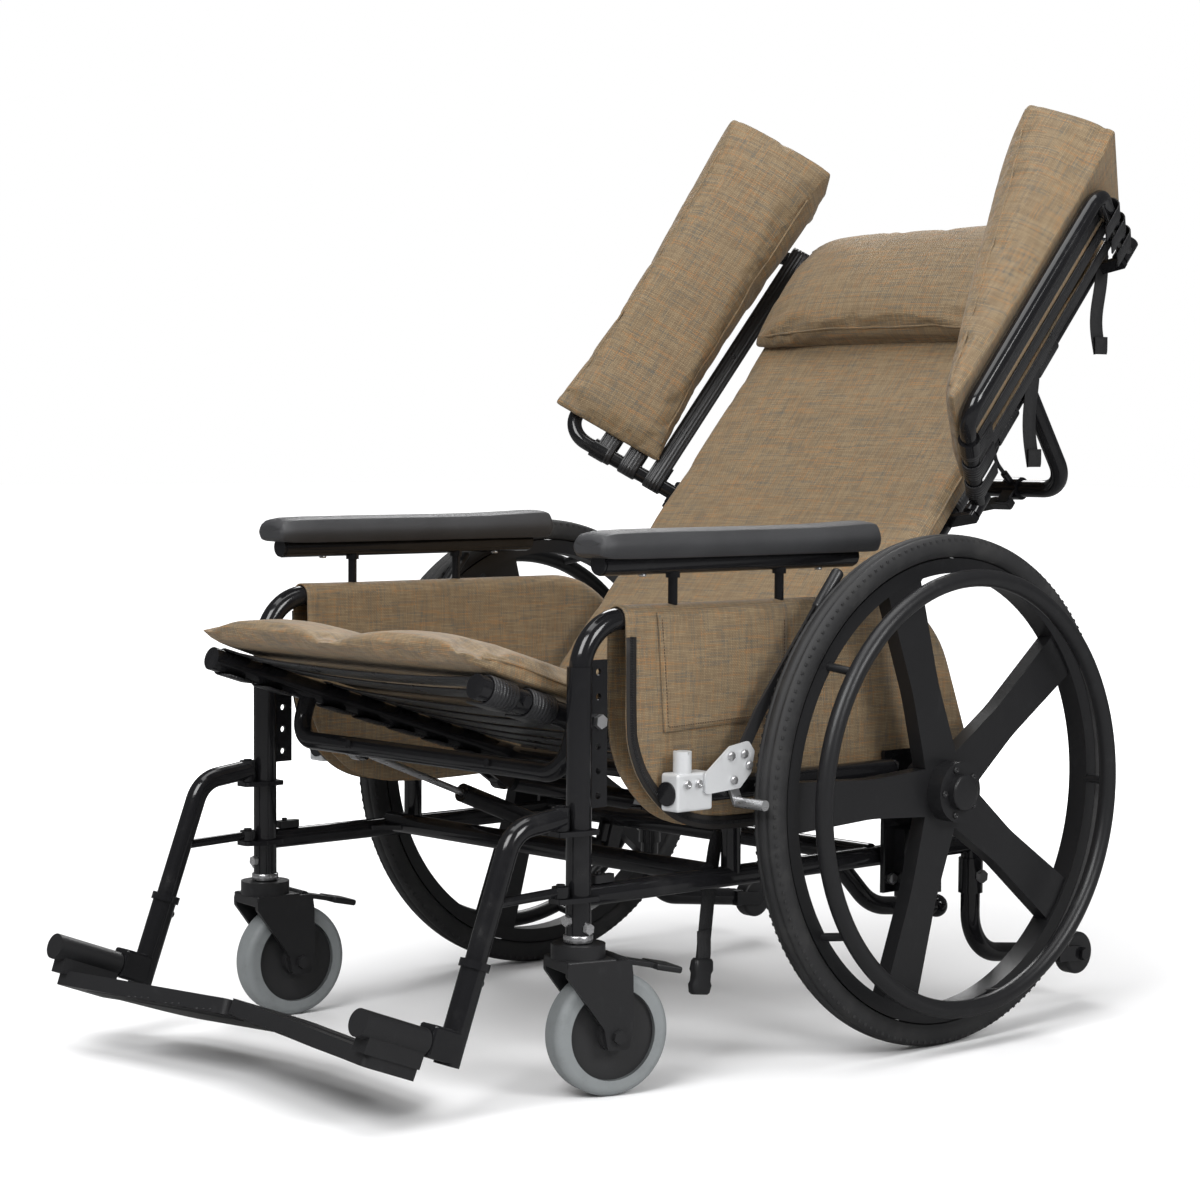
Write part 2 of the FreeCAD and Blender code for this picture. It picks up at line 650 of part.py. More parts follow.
def caster_place(side):
    """Placement of a caster modelled about its stem, trailing along +Y."""
    return FreeCAD.Placement(V(side * SIDE, 0, 0), FreeCAD.Rotation(V(0, 0, 1), CASTER_TURN[side]))


def caster_fork():
    """Caster fork: stem, crown, two legs, axle with nuts and pedal pin."""
    axle = CASTER_D / 2
    half = CASTER_W / 2 + 6
    bridge = CASTER_D + 3
    crown_top = POST_BOTTOM - FACE_GAP
    pieces = [
        rod(V(0, 0, crown_top - 2), V(0, 0, POST_BOTTOM + STEM_LONG), STEM_D),
        rod(V(0, 0, crown_top - 15), V(0, 0, crown_top), 55),
        block(-half - FORK_T, half + FORK_T, -25, 30, bridge, crown_top - 14, 2),
    ]
    for x in (-half - FORK_T, half):
        corners = [(-25, bridge + 10), (-25, bridge - 3), (CASTER_TRAIL - 16, axle + 8),
                   (CASTER_TRAIL - 12, axle - 14), (CASTER_TRAIL + 12, axle - 14), (CASTER_TRAIL + 17, axle + 10),
                   (48, bridge - 4), (46, bridge + 10)]
        pieces.append(plate_x(corners, 5, x, FORK_T))
    pieces.append(bar_x(-half - FORK_T, half + FORK_T, CASTER_TRAIL, axle, 8))
    pieces.append(bar_x(-half - FORK_T, half + FORK_T, *PEDAL_PIVOT, 6))
    for sign in (-1, 1):
        face = V(sign * (half + FORK_T), CASTER_TRAIL, axle)
        pieces.append(hexagon(face, V(sign, 0, 0), 13, 5))
    return fuse(pieces)


def caster_wheel():
    """Caster wheel: disc hub with a bore and the tyre round it."""
    axle = CASTER_D / 2
    half = CASTER_W / 2
    hub = ring(V(-half - 5, CASTER_TRAIL, axle), V(half + 5, CASTER_TRAIL, axle), 34, 8 + 2 * RUN)
    disc = ring(V(-half + 5, CASTER_TRAIL, axle), V(half - 5, CASTER_TRAIL, axle), CASTER_HUB_D, 30)
    tyre = ring(V(-half, CASTER_TRAIL, axle), V(half, CASTER_TRAIL, axle), CASTER_D, CASTER_HUB_D)
    return [fuse([hub, disc]), round_rims(tyre, CASTER_D / 2, 8)]


def caster_pedal():
    """Caster lock pedal: bored barrel between the fork legs, arm and tread."""
    y, z = PEDAL_PIVOT
    arm = block(-13, 13, y, PEDAL_END - 6, z - 2, z + 3, 1)
    tread = block(-19, 19, PEDAL_END - 30, PEDAL_END, z - 3, z + 4, 2.5)
    body = fuse([arm, tread, bar_x(-CASTER_W / 2 - 4, CASTER_W / 2 + 4, y, z, 12)])
    turned = body.cut(bar_x(-40, 40, y, z, 6 + 2 * RUN))
    turned.rotate(V(0, y, z), V(1, 0, 0), -PEDAL_SLOPE)
    return turned


# Rear wheels

def rear_wheel():
    """Left rear wheel: hub, broad blades, rim, hand rim and its tabs."""
    centre = V(WHEEL_X, WHEEL_Y, AXLE_Z)
    rim_out = WHEEL_D - 2 * TYRE_H
    rim_in = rim_out - 2 * RIM_H
    pieces = [
        ring(centre - V(RIM_W / 2, 0, 0), centre + V(RIM_W / 2, 0, 0), rim_out, rim_in),
        rod(centre - V(HUB_IN, 0, 0), centre + V(HUB_IN, 0, 0), HUB_D),
        rod(centre, centre + V(HUB_CAP, 0, 0), HUB_D * 0.6),
    ]
    reach = rim_in / 2
    for i in range(BLADES):
        corners = [(18, -27), (reach * 0.5, -21), (reach + 3, -27), (reach + 3, 27), (reach * 0.5, 21), (18, 27)]
        placed = [(WHEEL_Y + y, AXLE_Z + z) for y, z in corners]
        blade = plate_x(placed, (0, 240, 0, 0, 240, 0), -BLADE_T / 2, BLADE_T)
        blade.translate(V(WHEEL_X, 0, 0))
        blade.rotate(centre, V(1, 0, 0), 180 + i * 360 / BLADES)
        pieces.append(blade)
    wheel = fuse(pieces)
    hand_centre = centre + V(HANDRIM_OUT, 0, 0)
    hand = Part.makeTorus(HANDRIM_D / 2, HANDRIM_TUBE / 2, hand_centre, V(1, 0, 0))
    tabs = []
    for i in range(BLADES):
        foot = V(WHEEL_X + 6, WHEEL_Y, AXLE_Z + rim_in / 2 + 5)
        tab = rod(foot, V(WHEEL_X + HANDRIM_OUT, WHEEL_Y, AXLE_Z + HANDRIM_D / 2), 9)
        tab.rotate(centre, V(1, 0, 0), TAB_ANGLE + i * 360 / BLADES)
        tabs.append(tab)
    wheel = fuse([wheel] + tabs + [hand])
    bore = rod(centre - V(HUB_IN + 1, 0, 0), centre + V(HUB_CAP - 2.5, 0, 0), AXLE_D + 2 * RUN)
    return wheel.cut(bore)


def rear_tyre():
    """Left rear tyre."""
    centre = V(WHEEL_X, WHEEL_Y, AXLE_Z)
    half = V(TYRE_W / 2, 0, 0)
    return round_rims(ring(centre - half, centre + half, WHEEL_D, WHEEL_D - 2 * TYRE_H), WHEEL_D / 2, 11)


# Pads of foam

def pad_section(at, across, low, high, crown, draw, rolls=1):
    """Closed wire of a pad: flat underside, drawn-in sides and a top of one or more crowned rolls."""
    left, right = across
    inner_left = left + draw
    inner_right = right - draw
    step = (inner_right - inner_left) / rolls
    middle = (low + high) / 2
    edges = [
        Part.LineSegment(at(inner_left, low), at(inner_right, low)),
        Part.Arc(at(inner_right, low), at(right, middle), at(inner_right, high)),
    ]
    for i in range(rolls):
        start = inner_right - i * step
        edges.append(Part.Arc(at(start, high), at(start - step / 2, high + crown), at(start - step, high)))
    edges.append(Part.Arc(at(inner_left, high), at(left, middle), at(inner_left, low)))
    return Part.Wire([edge.toShape() for edge in edges])


def pad(sections):
    """Closed solid through a pad's sections, with its faces outwards whichever way the sections run."""
    solid = Part.makeLoft(sections, True, True)
    return solid if solid.Volume > 0 else solid.reversed()


# Seat, in its own frame: X across, Y rearwards along the side tubes, Z square to them

def seat_frame():
    """Side tubes with end caps, drop bar, rear cross tube, hinge rings and bolts, spring lugs."""
    pieces = []
    caps = []
    for side in (-1, 1):
        x = side * SEAT_HALF
        tip = side * (SEAT_HALF + SEAT_TUBE / 2)
        pieces.append(rod(V(x, SEAT_FRONT, 0), V(x, SEAT_REAR, 0), SEAT_TUBE))
        pieces.append(rod(V(x, 0, 0), V(side * (SIDE - 6), 0, 0), 18))
        pieces.append(rod(V(side * (SEAT_HALF - SEAT_TUBE / 2), HINGE_S, HINGE_M), V(tip, HINGE_S, HINGE_M), 28))
        pin_in = side * (CANE_HALF - CANE_D / 2 - 2)
        pieces.append(rod(V(pin_in, HINGE_S, HINGE_M), V(tip, HINGE_S, HINGE_M), HINGE_PIN))
        pieces.append(hexagon(V(tip, HINGE_S, HINGE_M), V(side, 0, 0), 15, 6))
        pieces.append(bolt(V(tip, SEAT_BOLT, 0), V(side, 0, 0), 10, 5, 6, 4))
        caps.append(rod(V(x, SEAT_FRONT - 4, 0), V(x, SEAT_FRONT, 0), SEAT_TUBE))
    drop = [V(-SEAT_HALF, DROP_S, 0), V(-SEAT_HALF, DROP_S, DROP_M), V(SEAT_HALF, DROP_S, DROP_M),
            V(SEAT_HALF, DROP_S, 0)]
    pieces.append(tube(drop, DROP_D, (28, 28)))
    pieces.append(bar_x(-SEAT_HALF, SEAT_HALF, REAR_BAR_S, 0, DROP_D))
    for x in (-118.5, 118.5):
        pieces.append(rod(V(x, DROP_S - DROP_D / 2 - 2.5, DROP_M), V(x, DROP_S, DROP_M), 9))
    high = SEAT.inverse().multVec(V(0, *TILT_HIGH))
    for x, pin in ((TILT_SPRING_X, high), (RECLINE_SPRING_X, V(0, *RECLINE_LOW))):
        for offset in LUGS:
            corners = [(DROP_S, DROP_M + 9), (DROP_S - 8, DROP_M - 5), (pin.y + 6, pin.z - 9),
                       (pin.y + 9, pin.z + 5)]
            pieces.append(plate_x(corners, 3, x + offset, LUG_T))
        pieces.append(bar_x(x - LUG_OUT, x + LUG_OUT, pin.y, pin.z, SPRING_PIN))
    frame = fuse(pieces)
    for side in (-1, 1):
        frame = frame.cut(rod(V(side * (PIVOT_IN - 1), 0, 0), V(side * SIDE, 0, 0), PIVOT_BOLT + 2 * RUN))
    return [frame] + caps


def sling(half, radius, width, sag, gap):
    """Strap across two tubes: loops round both and sags a little between them."""
    turn = radius + gap + STRAP_T / 2
    lip = half - 24
    points = [
        V(-lip, 0, -turn), V(-half - turn, 0, -turn), V(-half - turn, 0, turn), V(-half + 10, 0, turn),
        V(0, 0, turn - sag),
        V(half - 10, 0, turn), V(half + turn, 0, turn), V(half + turn, 0, -turn), V(lip, 0, -turn),
    ]
    return ribbon(points, (turn, turn, 180, 900, 180, turn, turn), STRAP_T, width, V(0, 1, 0))


def seat_straps():
    """Crosswise sling straps looped over the seat's side tubes."""
    strap = sling(SEAT_HALF, SEAT_TUBE / 2, SEAT_STRAP_W, 12, 0.1)
    straps = []
    for first, count in zip(SEAT_STRAP_FROM, SEAT_STRAPS):
        for i in range(count):
            copy = strap.copy()
            copy.translate(V(0, first + i * SEAT_STRAP_PITCH, 0))
            straps.append(copy)
    return straps


def seat_cushion():
    """Seat cushion: two crowned rolls with a channel between them, thin front edge, drawn-in sides."""
    base = SEAT_TUBE / 2 + STRAP_T + 1.2
    top = CUSHION_SIDE
    stations = [
        (CUSHION_FRONT, 12, base + 7, base + 12, 1.0, 2),
        (CUSHION_FRONT + 6, 6, base + 4, base + 16, 3.0, 4),
        (CUSHION_FRONT + 20, 2, base + 1, top - 7, 5.5, 7),
        (CUSHION_FRONT + 45, 0, base, top - 2, 8.0, 9),
        (CUSHION_FRONT + 85, 0, base, top, CUSHION_CROWN, 9),
        (CUSHION_REAR - 40, 0, base, top, CUSHION_CROWN, 9),
        (CUSHION_REAR - 12, 1, base + 1, top - 3, 7.0, 8),
        (CUSHION_REAR, 8, base + 5, top - 9, 4.0, 5),
    ]
    sections = []
    for y, inset, low, high, crown, draw in stations:
        across = (-CUSHION_HALF + inset, CUSHION_HALF - inset)
        sections.append(pad_section(lambda a, b, y=y: V(a, y, b), across, low, high, crown, draw, 2))
    return pad(sections)


# Back, in its own frame: X across, Y rearwards, Z up the back

def back_frame():
    """Canes with hinge rings, cross bars, wing hinge plates with pins, spring crank and cable ferrules."""
    pieces = []
    for side in (-1, 1):
        x = side * CANE_HALF
        ring_in = x - side * (CANE_D / 2 + 1)
        ring_out = x + side * (CANE_D / 2 + 1)
        pieces.append(rod(V(x, CANE_DEPTH, HINGE_T), V(x, CANE_DEPTH, CANE_TOP), CANE_D))
        pieces.append(rod(V(ring_in, CANE_DEPTH, HINGE_T), V(ring_out, CANE_DEPTH, HINGE_T), 26))
        for t in WING_PLATES:
            corners = [(side * (CANE_HALF + 2), CANE_DEPTH - 8), (side * (CANE_HALF + 2), CANE_DEPTH + 8),
                       (side * (WING_HINGE_X + 8), WING_HINGE_DEPTH + 8),
                       (side * (WING_HINGE_X + 8), WING_HINGE_DEPTH - 8)]
            pieces.append(plate_z(corners, 3, t, WING_PLATE_T))
            pin = V(side * WING_HINGE_X, WING_HINGE_DEPTH, t)
            pieces.append(rod(pin, pin + V(0, 0, WING_PLATE_T + WING_SLEEVE_LONG + 4), WING_PIN))
        x = side * FERRULE_X
        pieces.append(block(x - 6, x + 6, CANE_DEPTH, CABLE_END[0] + 7, LOW_BAR_T - 4, CABLE_END[1]))
    for t in (LOW_BAR_T, MID_BAR_T, TOP_BAR_T):
        pieces.append(bar_x(-CANE_HALF, CANE_HALF, CANE_DEPTH, t, 18))
    x = RECLINE_SPRING_X
    corners = [(CANE_DEPTH - 8, LOW_BAR_T + 2), (CANE_DEPTH + 8, LOW_BAR_T + 2),
               (RECLINE_HIGH[0] + 8, RECLINE_HIGH[1] - 7), (RECLINE_HIGH[0] - 8, RECLINE_HIGH[1] - 7)]
    for offset in LUGS:
        pieces.append(plate_x(corners, 3, x + offset, LUG_T))
    pieces.append(bar_x(x - LUG_OUT, x + LUG_OUT, *RECLINE_HIGH, SPRING_PIN))
    frame = fuse(pieces)
    for side in (-1, 1):
        start = V(side * (CANE_HALF - 20), CANE_DEPTH, HINGE_T)
        frame = frame.cut(rod(start, start + V(side * 40, 0, 0), HINGE_PIN + 2 * RUN))
    return frame


def back_straps():
    """Crosswise straps looped round the canes."""
    strap = sling(CANE_HALF, CANE_D / 2, BACK_STRAP_W, 3, 0.1)
    strap.rotate(V(0, 0, 0), V(1, 0, 0), 90)
    step = (HANDLE_T + 82 - BACK_STRAP_FROM) / (BACK_STRAPS - 1)
    straps = []
    for i in range(BACK_STRAPS):
        copy = strap.copy()
        copy.translate(V(0, CANE_DEPTH, BACK_STRAP_FROM + i * step))
        straps.append(copy)
    return straps


def back_cushion():
    """Back cushion: one broad crown, drawn-in sides, rounded ends."""
    rear = CANE_DEPTH - CANE_D / 2 - STRAP_T - 0.9
    thick = rear - 5
    stations = [
        (BACK_LOW, 12, 7, thick - 7, 1.5, 4),
        (BACK_LOW + 7, 4, 2, thick - 3, 3.0, 8),
        (BACK_LOW + 24, 0, 0, thick, 4.0, 9),
        (BACK_LOW + 90, 0, 0, thick, 5.0, 9),
        (BACK_HIGH - 90, 0, 0, thick, 5.0, 9),
        (BACK_HIGH - 24, 0, 0, thick, 4.0, 9),
        (BACK_HIGH - 7, 4, 2, thick - 3, 3.0, 8),
        (BACK_HIGH, 12, 7, thick - 7, 1.5, 4),
    ]
    sections = []
    for t, inset, low, high, crown, draw in stations:
        across = (-CUSHION_HALF + inset, CUSHION_HALF - inset)
        sections.append(pad_section(lambda a, b, t=t: V(a, rear - b, t), across, low, high, crown, draw))
    return pad(sections)


def head_pillow():
    """Head pillow: full middle, drawn-in ends that thin out towards the wings."""
    front = 1.2
    middle = (PILLOW[0] + PILLOW[1]) / 2
    half = (PILLOW[1] - PILLOW[0]) / 2
    stations = [
        (0.2, 1.0, 1.0), (0.5, 1.0, 0.91), (0.76, 0.97, 0.70), (0.90, 0.89, 0.45), (0.97, 0.76, 0.26),
        (1.0, 0.62, 0.10),
    ]
    mirrored_stations = [(-place, tall, deep) for place, tall, deep in reversed(stations)]
    sections = []
    for place, tall, deep in mirrored_stations + stations:
        x = place * PILLOW_HALF
        thick = PILLOW_DEEP * deep
        across = (middle - half * tall, middle + half * tall)
        draw = min(thick * 0.34, 12)
        sections.append(pad_section(lambda a, b, x=x: V(x, -front - b, a), across, 0, thick * 0.72, thick * 0.28,
                                    draw))
    return pad(sections)


def push_handle(frame):
    """Push bar with its two arms, two lever perches and a cable tie."""
    points = [V(CANE_HALF, CANE_DEPTH, HANDLE_T + 40), V(CANE_HALF, HANDLE_OUT, HANDLE_T),
              V(-CANE_HALF, HANDLE_OUT, HANDLE_T), V(-CANE_HALF, CANE_DEPTH, HANDLE_T + 40)]
    pieces = [tube(points, HANDLE_D, (38, 38))]
    for side in (-1, 1):
        x = side * PERCH_X
        pieces.append(rod(V(x - 11, HANDLE_OUT, HANDLE_T), V(x + 11, HANDLE_OUT, HANDLE_T), HANDLE_D + 7))
        pieces.append(block(x - 9, x + 9, HANDLE_OUT - 9, HANDLE_OUT - 5, HANDLE_T - 30, HANDLE_T - 5, 1))
        pieces.append(rod(V(x, CABLE_POINTS[0][1], HANDLE_T), V(x, HANDLE_OUT, HANDLE_T), CABLE_D + 4))
        pieces.append(rod(V(x, HANDLE_OUT - 9, LEVER_T), V(x, HANDLE_OUT + 7, LEVER_T), 5))
    pieces.append(rod(V(-40, HANDLE_OUT, HANDLE_T), V(-35, HANDLE_OUT, HANDLE_T), HANDLE_D + 3))
    return cut_by(fuse(pieces), [frame])


def release_lever(side):
    """Release lever under the push bar, bored for its perch's pin."""
    x = side * PERCH_X
    y0 = HANDLE_OUT - 4.6
    corners = [(x + side * 8, LEVER_T + 6), (x - side * 20, LEVER_T + 5), (x - side * 95, LEVER_T - 20),
               (x - side * 98, LEVER_T - 28), (x - side * 20, LEVER_T - 7), (x + side * 8, LEVER_T - 7)]
    wire = outline([V(a, y0, t) for a, t in corners], 3)
    lever = Part.Face(wire).extrude(V(0, 10, 0))
    return lever.cut(rod(V(x, y0 - 1, LEVER_T), V(x, y0 + 11, LEVER_T), 5 + 2 * RUN))


def control_cables():
    """Two release cables from the perches down the inside of the canes to the ferrules on the lowest bar."""
    cables = []
    for side in (-1, 1):
        points = [V(side * x, y, t) for x, y, t in CABLE_POINTS]
        radii = []
        for i in range(1, len(points) - 1):
            before = points[i] - points[i - 1]
            after = points[i + 1] - points[i]
            half_turn = before.getAngle(after) / 2
            radii.append(0.45 * min(before.Length, after.Length) / math.tan(half_turn))
        wire = route(points, radii)
        cable = tube(points, CABLE_D, radii)
        section = math.pi * CABLE_D ** 2 / 4
        print("cable", NAMES[side], "length", round(wire.Length), "volume over section times length",
              round(cable.Volume / section / wire.Length, 4), "radii", [round(r) for r in radii])
        cables.append(cable)
    return cables


def strap_tails():
    """Loose ends of two back straps, hanging beside the left cane."""
    tails = []
    for t, drop in TAILS:
        top = BACK.multVec(V(TAIL_X, CANE_DEPTH, t))
        tail = block(TAIL_X, TAIL_X + 1.8, top.y - 12.5, top.y + 12.5, top.z - drop, top.z)
        tails.append(tail)
    return tails


# Wings, in a frame at the hinge: X outwards, -Y along the reach, Z up the back

def wing_frame():
    """Wing hoop: two bored hinge sleeves, lower and upper cross tubes and the outer tube."""
    points = [V(0, 0, WING_LOW), V(0, -WING_REACH, WING_LOW), V(0, -WING_REACH, WING_BEND_T), V(0, 0, WING_TOP)]
    pieces = [tube(points, WING_TUBE, (30, 30))]
    bores = []
    for t in WING_PLATES:
        start = V(0, 0, t + WING_PLATE_T + FACE_GAP)
        end = start + V(0, 0, WING_SLEEVE_LONG)
        pieces.append(rod(start, end, WING_SLEEVE))
        bores.append(rod(start - V(0, 0, 1), end + V(0, 0, 1), WING_PIN + 2 * RUN))
    elbow = V(0, -WING_REACH, WING_LOW)
    pieces.append(rod(elbow + V(0, 40, 0), elbow + V(0, 60, 0), WING_TUBE + 6))
    body = cut_by(fuse(pieces), bores)
    low = WING_PLATES[0] + WING_PLATE_T + FACE_GAP
    below = block(-20, 20, -40, 40, low - 20, low)
    above = block(-20, 20, -12, 40, low + WING_SLEEVE_LONG, low + 60)
    return cut_by(body, [below, above])


def wing_straps():
    """Lengthwise straps over the wing's two cross tubes."""
    straps = []
    turn = WING_TUBE / 2 + 0.1 + STRAP_T / 2
    slope = (WING_TOP - WING_BEND_T) / WING_REACH
    for w in WING_STRAPS:
        top = WING_TOP - w * slope + 5
        points = [V(turn, -w, WING_LOW + 34), V(turn, -w, WING_LOW - turn), V(-turn, -w, WING_LOW - turn),
                  V(-turn, -w, top + turn), V(turn, -w, top + turn), V(turn, -w, top - 34)]
        straps.append(ribbon(points, (turn,) * 4, STRAP_T, WING_STRAP_W, V(0, 1, 0)))
    return straps


def wing_pad(side):
    """Wedge bolster: thin at its lower end, deep at its upper end."""
    low_t = WING_PAD_LOW[side]
    stations = [(0, 8, 0.05, 2), (0.015, 3, 0.10, 4), (0.06, 0, 0.17, 6), (0.3, 0, 0.38, 12), (0.62, 0, 0.67, 16),
                (0.92, 0, 0.95, 19), (0.97, 3, 0.96, 19), (1, 12, 0.86, 15)]
    sections = []
    for place, inset, deep, draw in stations:
        t = low_t + place * WING_PAD_LONG
        thick = WING_PAD_THICK * deep
        across = (-WING_PAD_W[1] + inset, -WING_PAD_W[0] - inset)
        back = WING_PAD_H + inset * 0.8
        draw = min(draw, thick * 0.3)
        sections.append(pad_section(lambda a, b, t=t: V(-b, a, t), across, back, back + thick * 0.9, thick * 0.1,
                                    draw))
    return pad(sections)


# Armrests

def arm_frame():
    """Left armrest tube with end caps and its two posts."""
    pieces = [rod(V(ARM_X, ARM_FRONT, ARM_Z), V(ARM_X, ARM_REAR, ARM_Z), ARM_TUBE)]
    for y in ARM_POSTS:
        pieces.append(rod(V(ARM_X, y, SOCKET_BOTTOM + 15 + FACE_GAP), V(ARM_X, y, ARM_Z), ARM_POST_D))
        pieces.append(rod(V(ARM_X, y, ARM_Z - ARM_TUBE / 2 - 4), V(ARM_X, y, ARM_Z), ARM_POST_D + 5))
    ends = ((ARM_FRONT, ARM_FRONT - 3), (ARM_REAR, ARM_REAR + 3))
    caps = [rod(V(ARM_X, y, ARM_Z), V(ARM_X, end, ARM_Z), ARM_TUBE - 2) for y, end in ends]
    return [fuse(pieces)] + caps


def arm_pad(frame):
    """Left armrest pad: soft edges and a raised rear end, seated on the tube."""
    half = PAD_W / 2
    stations = [(PAD_FRONT, 6, 9, 3), (PAD_FRONT + 5, 2, 4, 5), (PAD_FRONT + 16, 0, 0.5, 6), (PAD_REAR - 90, 0, 0, 6),
                (PAD_REAR - 18, 0, -4, 6), (PAD_REAR - 6, 1, -3, 6), (PAD_REAR, 5, 2, 4)]
    sections = []
    for y, inset, drop, draw in stations:
        across = (-half + inset, half - inset)
        low = PAD_BOTTOM + max(drop, 0) * 0.6
        sections.append(pad_section(lambda a, b, y=y: V(ARM_X + a, y, b), across, low, PAD_TOP - drop - 3, 3, draw))
    return cut_by(pad(sections), frame)


# Footrests, in the hanger's frame: origin at its bend, Y rearwards, Z up its lower tube

def hanger():
    """Left hanger: bored sleeve at the post, bent tube, lower link with its bored eye, snap button."""
    bend = V(SIDE, HANGER_BEND_Y, HANGER_Z[1])
    down = HANGER_TURN.multVec(V(0, 0, -1))
    low = bend + down * HANGER_LOW
    hinge = V(SIDE, HANGER_Y, HANGER_Z[0])
    base = HANGER_PLATES[0] + PIN_PLATE + FACE_GAP
    link = bend + down * LINK_L
    eye = V(SIDE, HANGER_Y, HANGER_PLATES[1] + PIN_PLATE + FACE_GAP)
    pieces = [
        tube([hinge, bend, low], HANGER_TUBE, (36,)),
        rod(V(SIDE, HANGER_Y, base), V(SIDE, HANGER_Y, HANGER_Z[0] + HANGER_TUBE / 2 - 0.5), HANGER_PIN + 9),
        rod(eye, eye + V(0, 0, 11), HANGER_PIN + 9),
        rod(link, eye + V(0, 0, 5.5), 10),
    ]
    bores = [rod(V(SIDE, HANGER_Y, base - 2), V(SIDE, HANGER_Y, base + HANGER_TUBE + 8), HANGER_PIN + 2 * RUN),
             rod(V(SIDE, HANGER_Y, eye.z - 2), V(SIDE, HANGER_Y, eye.z + 20), HANGER_PIN + 2 * RUN),
             block(SIDE - 20, SIDE + 20, HANGER_Y - 12, HANGER_Y + 20, eye.z - 20, eye.z),
             block(SIDE - 20, SIDE + 20, HANGER_Y - 12, HANGER_Y + 20, eye.z + 11, eye.z + 22)]
    return cut_by(fuse(pieces), bores)


def foot_place():
    """Placement of the left footrest's frame: local X across, Y forwards along the plate's hinge, Z up the hanger."""
    return FreeCAD.Placement(V(SIDE, HANGER_BEND_Y, HANGER_Z[1]), HANGER_TURN)


def extension():
    """Sliding lower tube with its clamp block and the footplate's hinge pin."""
    body = rod(V(0, 0, -SLEEVE_TO), V(0, 0, -SLEEVE_FROM), SLEEVE_D)
    bracket = block(-13, 13, -36, 0, -KNOB_L - 13, -SLEEVE_TO + 34, 3)
    pin = rod(V(0, 0, -KNOB_L), V(0, -KNOB_B - 3, -KNOB_L), 12)
    collar = rod(V(0, 0, -SLEEVE_FROM - 8), V(0, 0, -SLEEVE_FROM), SLEEVE_D + 5)
    button = rod(V(0, 8, -BUTTON_L), V(0, SLEEVE_D / 2 + 2.5, -BUTTON_L), 7)
    bore = rod(V(0, 0, -SLEEVE_TO - 1), V(0, 0, -SLEEVE_FROM + 1), HANGER_TUBE + 2 * RUN)
    return fuse([body, bracket, pin, collar, button]).cut(bore)


def footplate(side):
    """Footplate as on the left: barrel on the hinge pin, end knob and the plate hung below it."""
    barrel = ring(V(0, -BARREL_FROM, -KNOB_L), V(0, -KNOB_B, -KNOB_L), KNOB_D, 12 + 2 * RUN)
    knob = rod(V(0, -KNOB_B - 3 - FACE_GAP, -KNOB_L), V(0, -KNOB_B - 7, -KNOB_L), KNOB_D)
    skirt = ring(V(0, -KNOB_B + 1, -KNOB_L), V(0, -KNOB_B - 5, -KNOB_L), KNOB_D, 12 + 2 * RUN + 6)
    reach = PLATE_TIP[side] - SIDE
    top = -KNOB_L - PLATE_DROP
    corners = [(8, -PLATE_FRONT), (-148, -78), (reach, -62), (reach, 44), (-60, 28), (-25, -BARREL_FROM),
               (8, -BARREL_FROM)]
    plate = plate_z(corners, (8, 60, 10, 14, 60, 4, 4), top - PLATE_T, PLATE_T)
    web = block(-10, 10, -KNOB_B + 4, -BARREL_FROM - 1, top - 4, -KNOB_L)
    bore = rod(V(0, 0, -KNOB_L), V(0, -KNOB_B - 3 - FACE_GAP, -KNOB_L), 12 + 2 * RUN)
    body = fuse([barrel, fuse([knob, skirt]), plate, web]).cut(bore)
    body.rotate(V(0, 0, -KNOB_L), V(0, 1, 0), PLATE_RISE)
    return body


def hanger_latch():
    """Left hanger latch: fin on its pin behind the post."""
    corners = [(SIDE - 6, LATCH_Y - 9), (SIDE + 6, LATCH_Y - 9), (SIDE + 6, LATCH_Y + 8), (SIDE + 4, LATCH_Y + 19),
               (SIDE - 4, LATCH_Y + 19), (SIDE - 6, LATCH_Y + 8)]
    fin = plate_z(corners, 2.5, LATCH_Z, LATCH_T)
    return fin.cut(rod(V(SIDE, LATCH_Y, LATCH_Z - 1), V(SIDE, LATCH_Y, LATCH_Z + 20), LATCH_PIN + 2 * RUN))


# Gas springs

def spring(low, high, x, fixed_share, bored_low, bored_high):
    """Cylinder and rod between two pins: eyes at both ends, the rod in the cylinder's bore."""
    start = V(x, *low)
    end = V(x, *high)
    along = unit(end - start)
    length = (end - start).Length
    mouth = start + along * (length * fixed_share)
    eye = SPRING_EYE / 2
    body = fuse([rod(start, start + along * 30, 12), rod(start + along * 16, mouth, SPRING_D),
                 bar_x(x - 6.4, x + 6.4, *low, SPRING_EYE)])
    body = body.cut(rod(mouth - along * (length * fixed_share - 50), mouth + along, SPRING_ROD + 2 * RUN))
    body = body.cut(bar_x(x - 7, x + 7, *low, bored_low))
    piston = fuse([rod(mouth - along * 70, end, SPRING_ROD), bar_x(x - 6.4, x + 6.4, *high, SPRING_EYE)])
    piston = piston.cut(bar_x(x - 7, x + 7, *high, bored_high))
    return body, piston


def export(name, shapes, shift):
    """Write one node's solids as a STEP file."""
    solids = [solid for shape in shapes for solid in shape.Solids]
    for solid in solids:
        assert solid.isValid(), name
    whole = Part.makeCompound(solids)
    whole.translate(shift)
    whole.exportStep("parts/" + name + ".step")


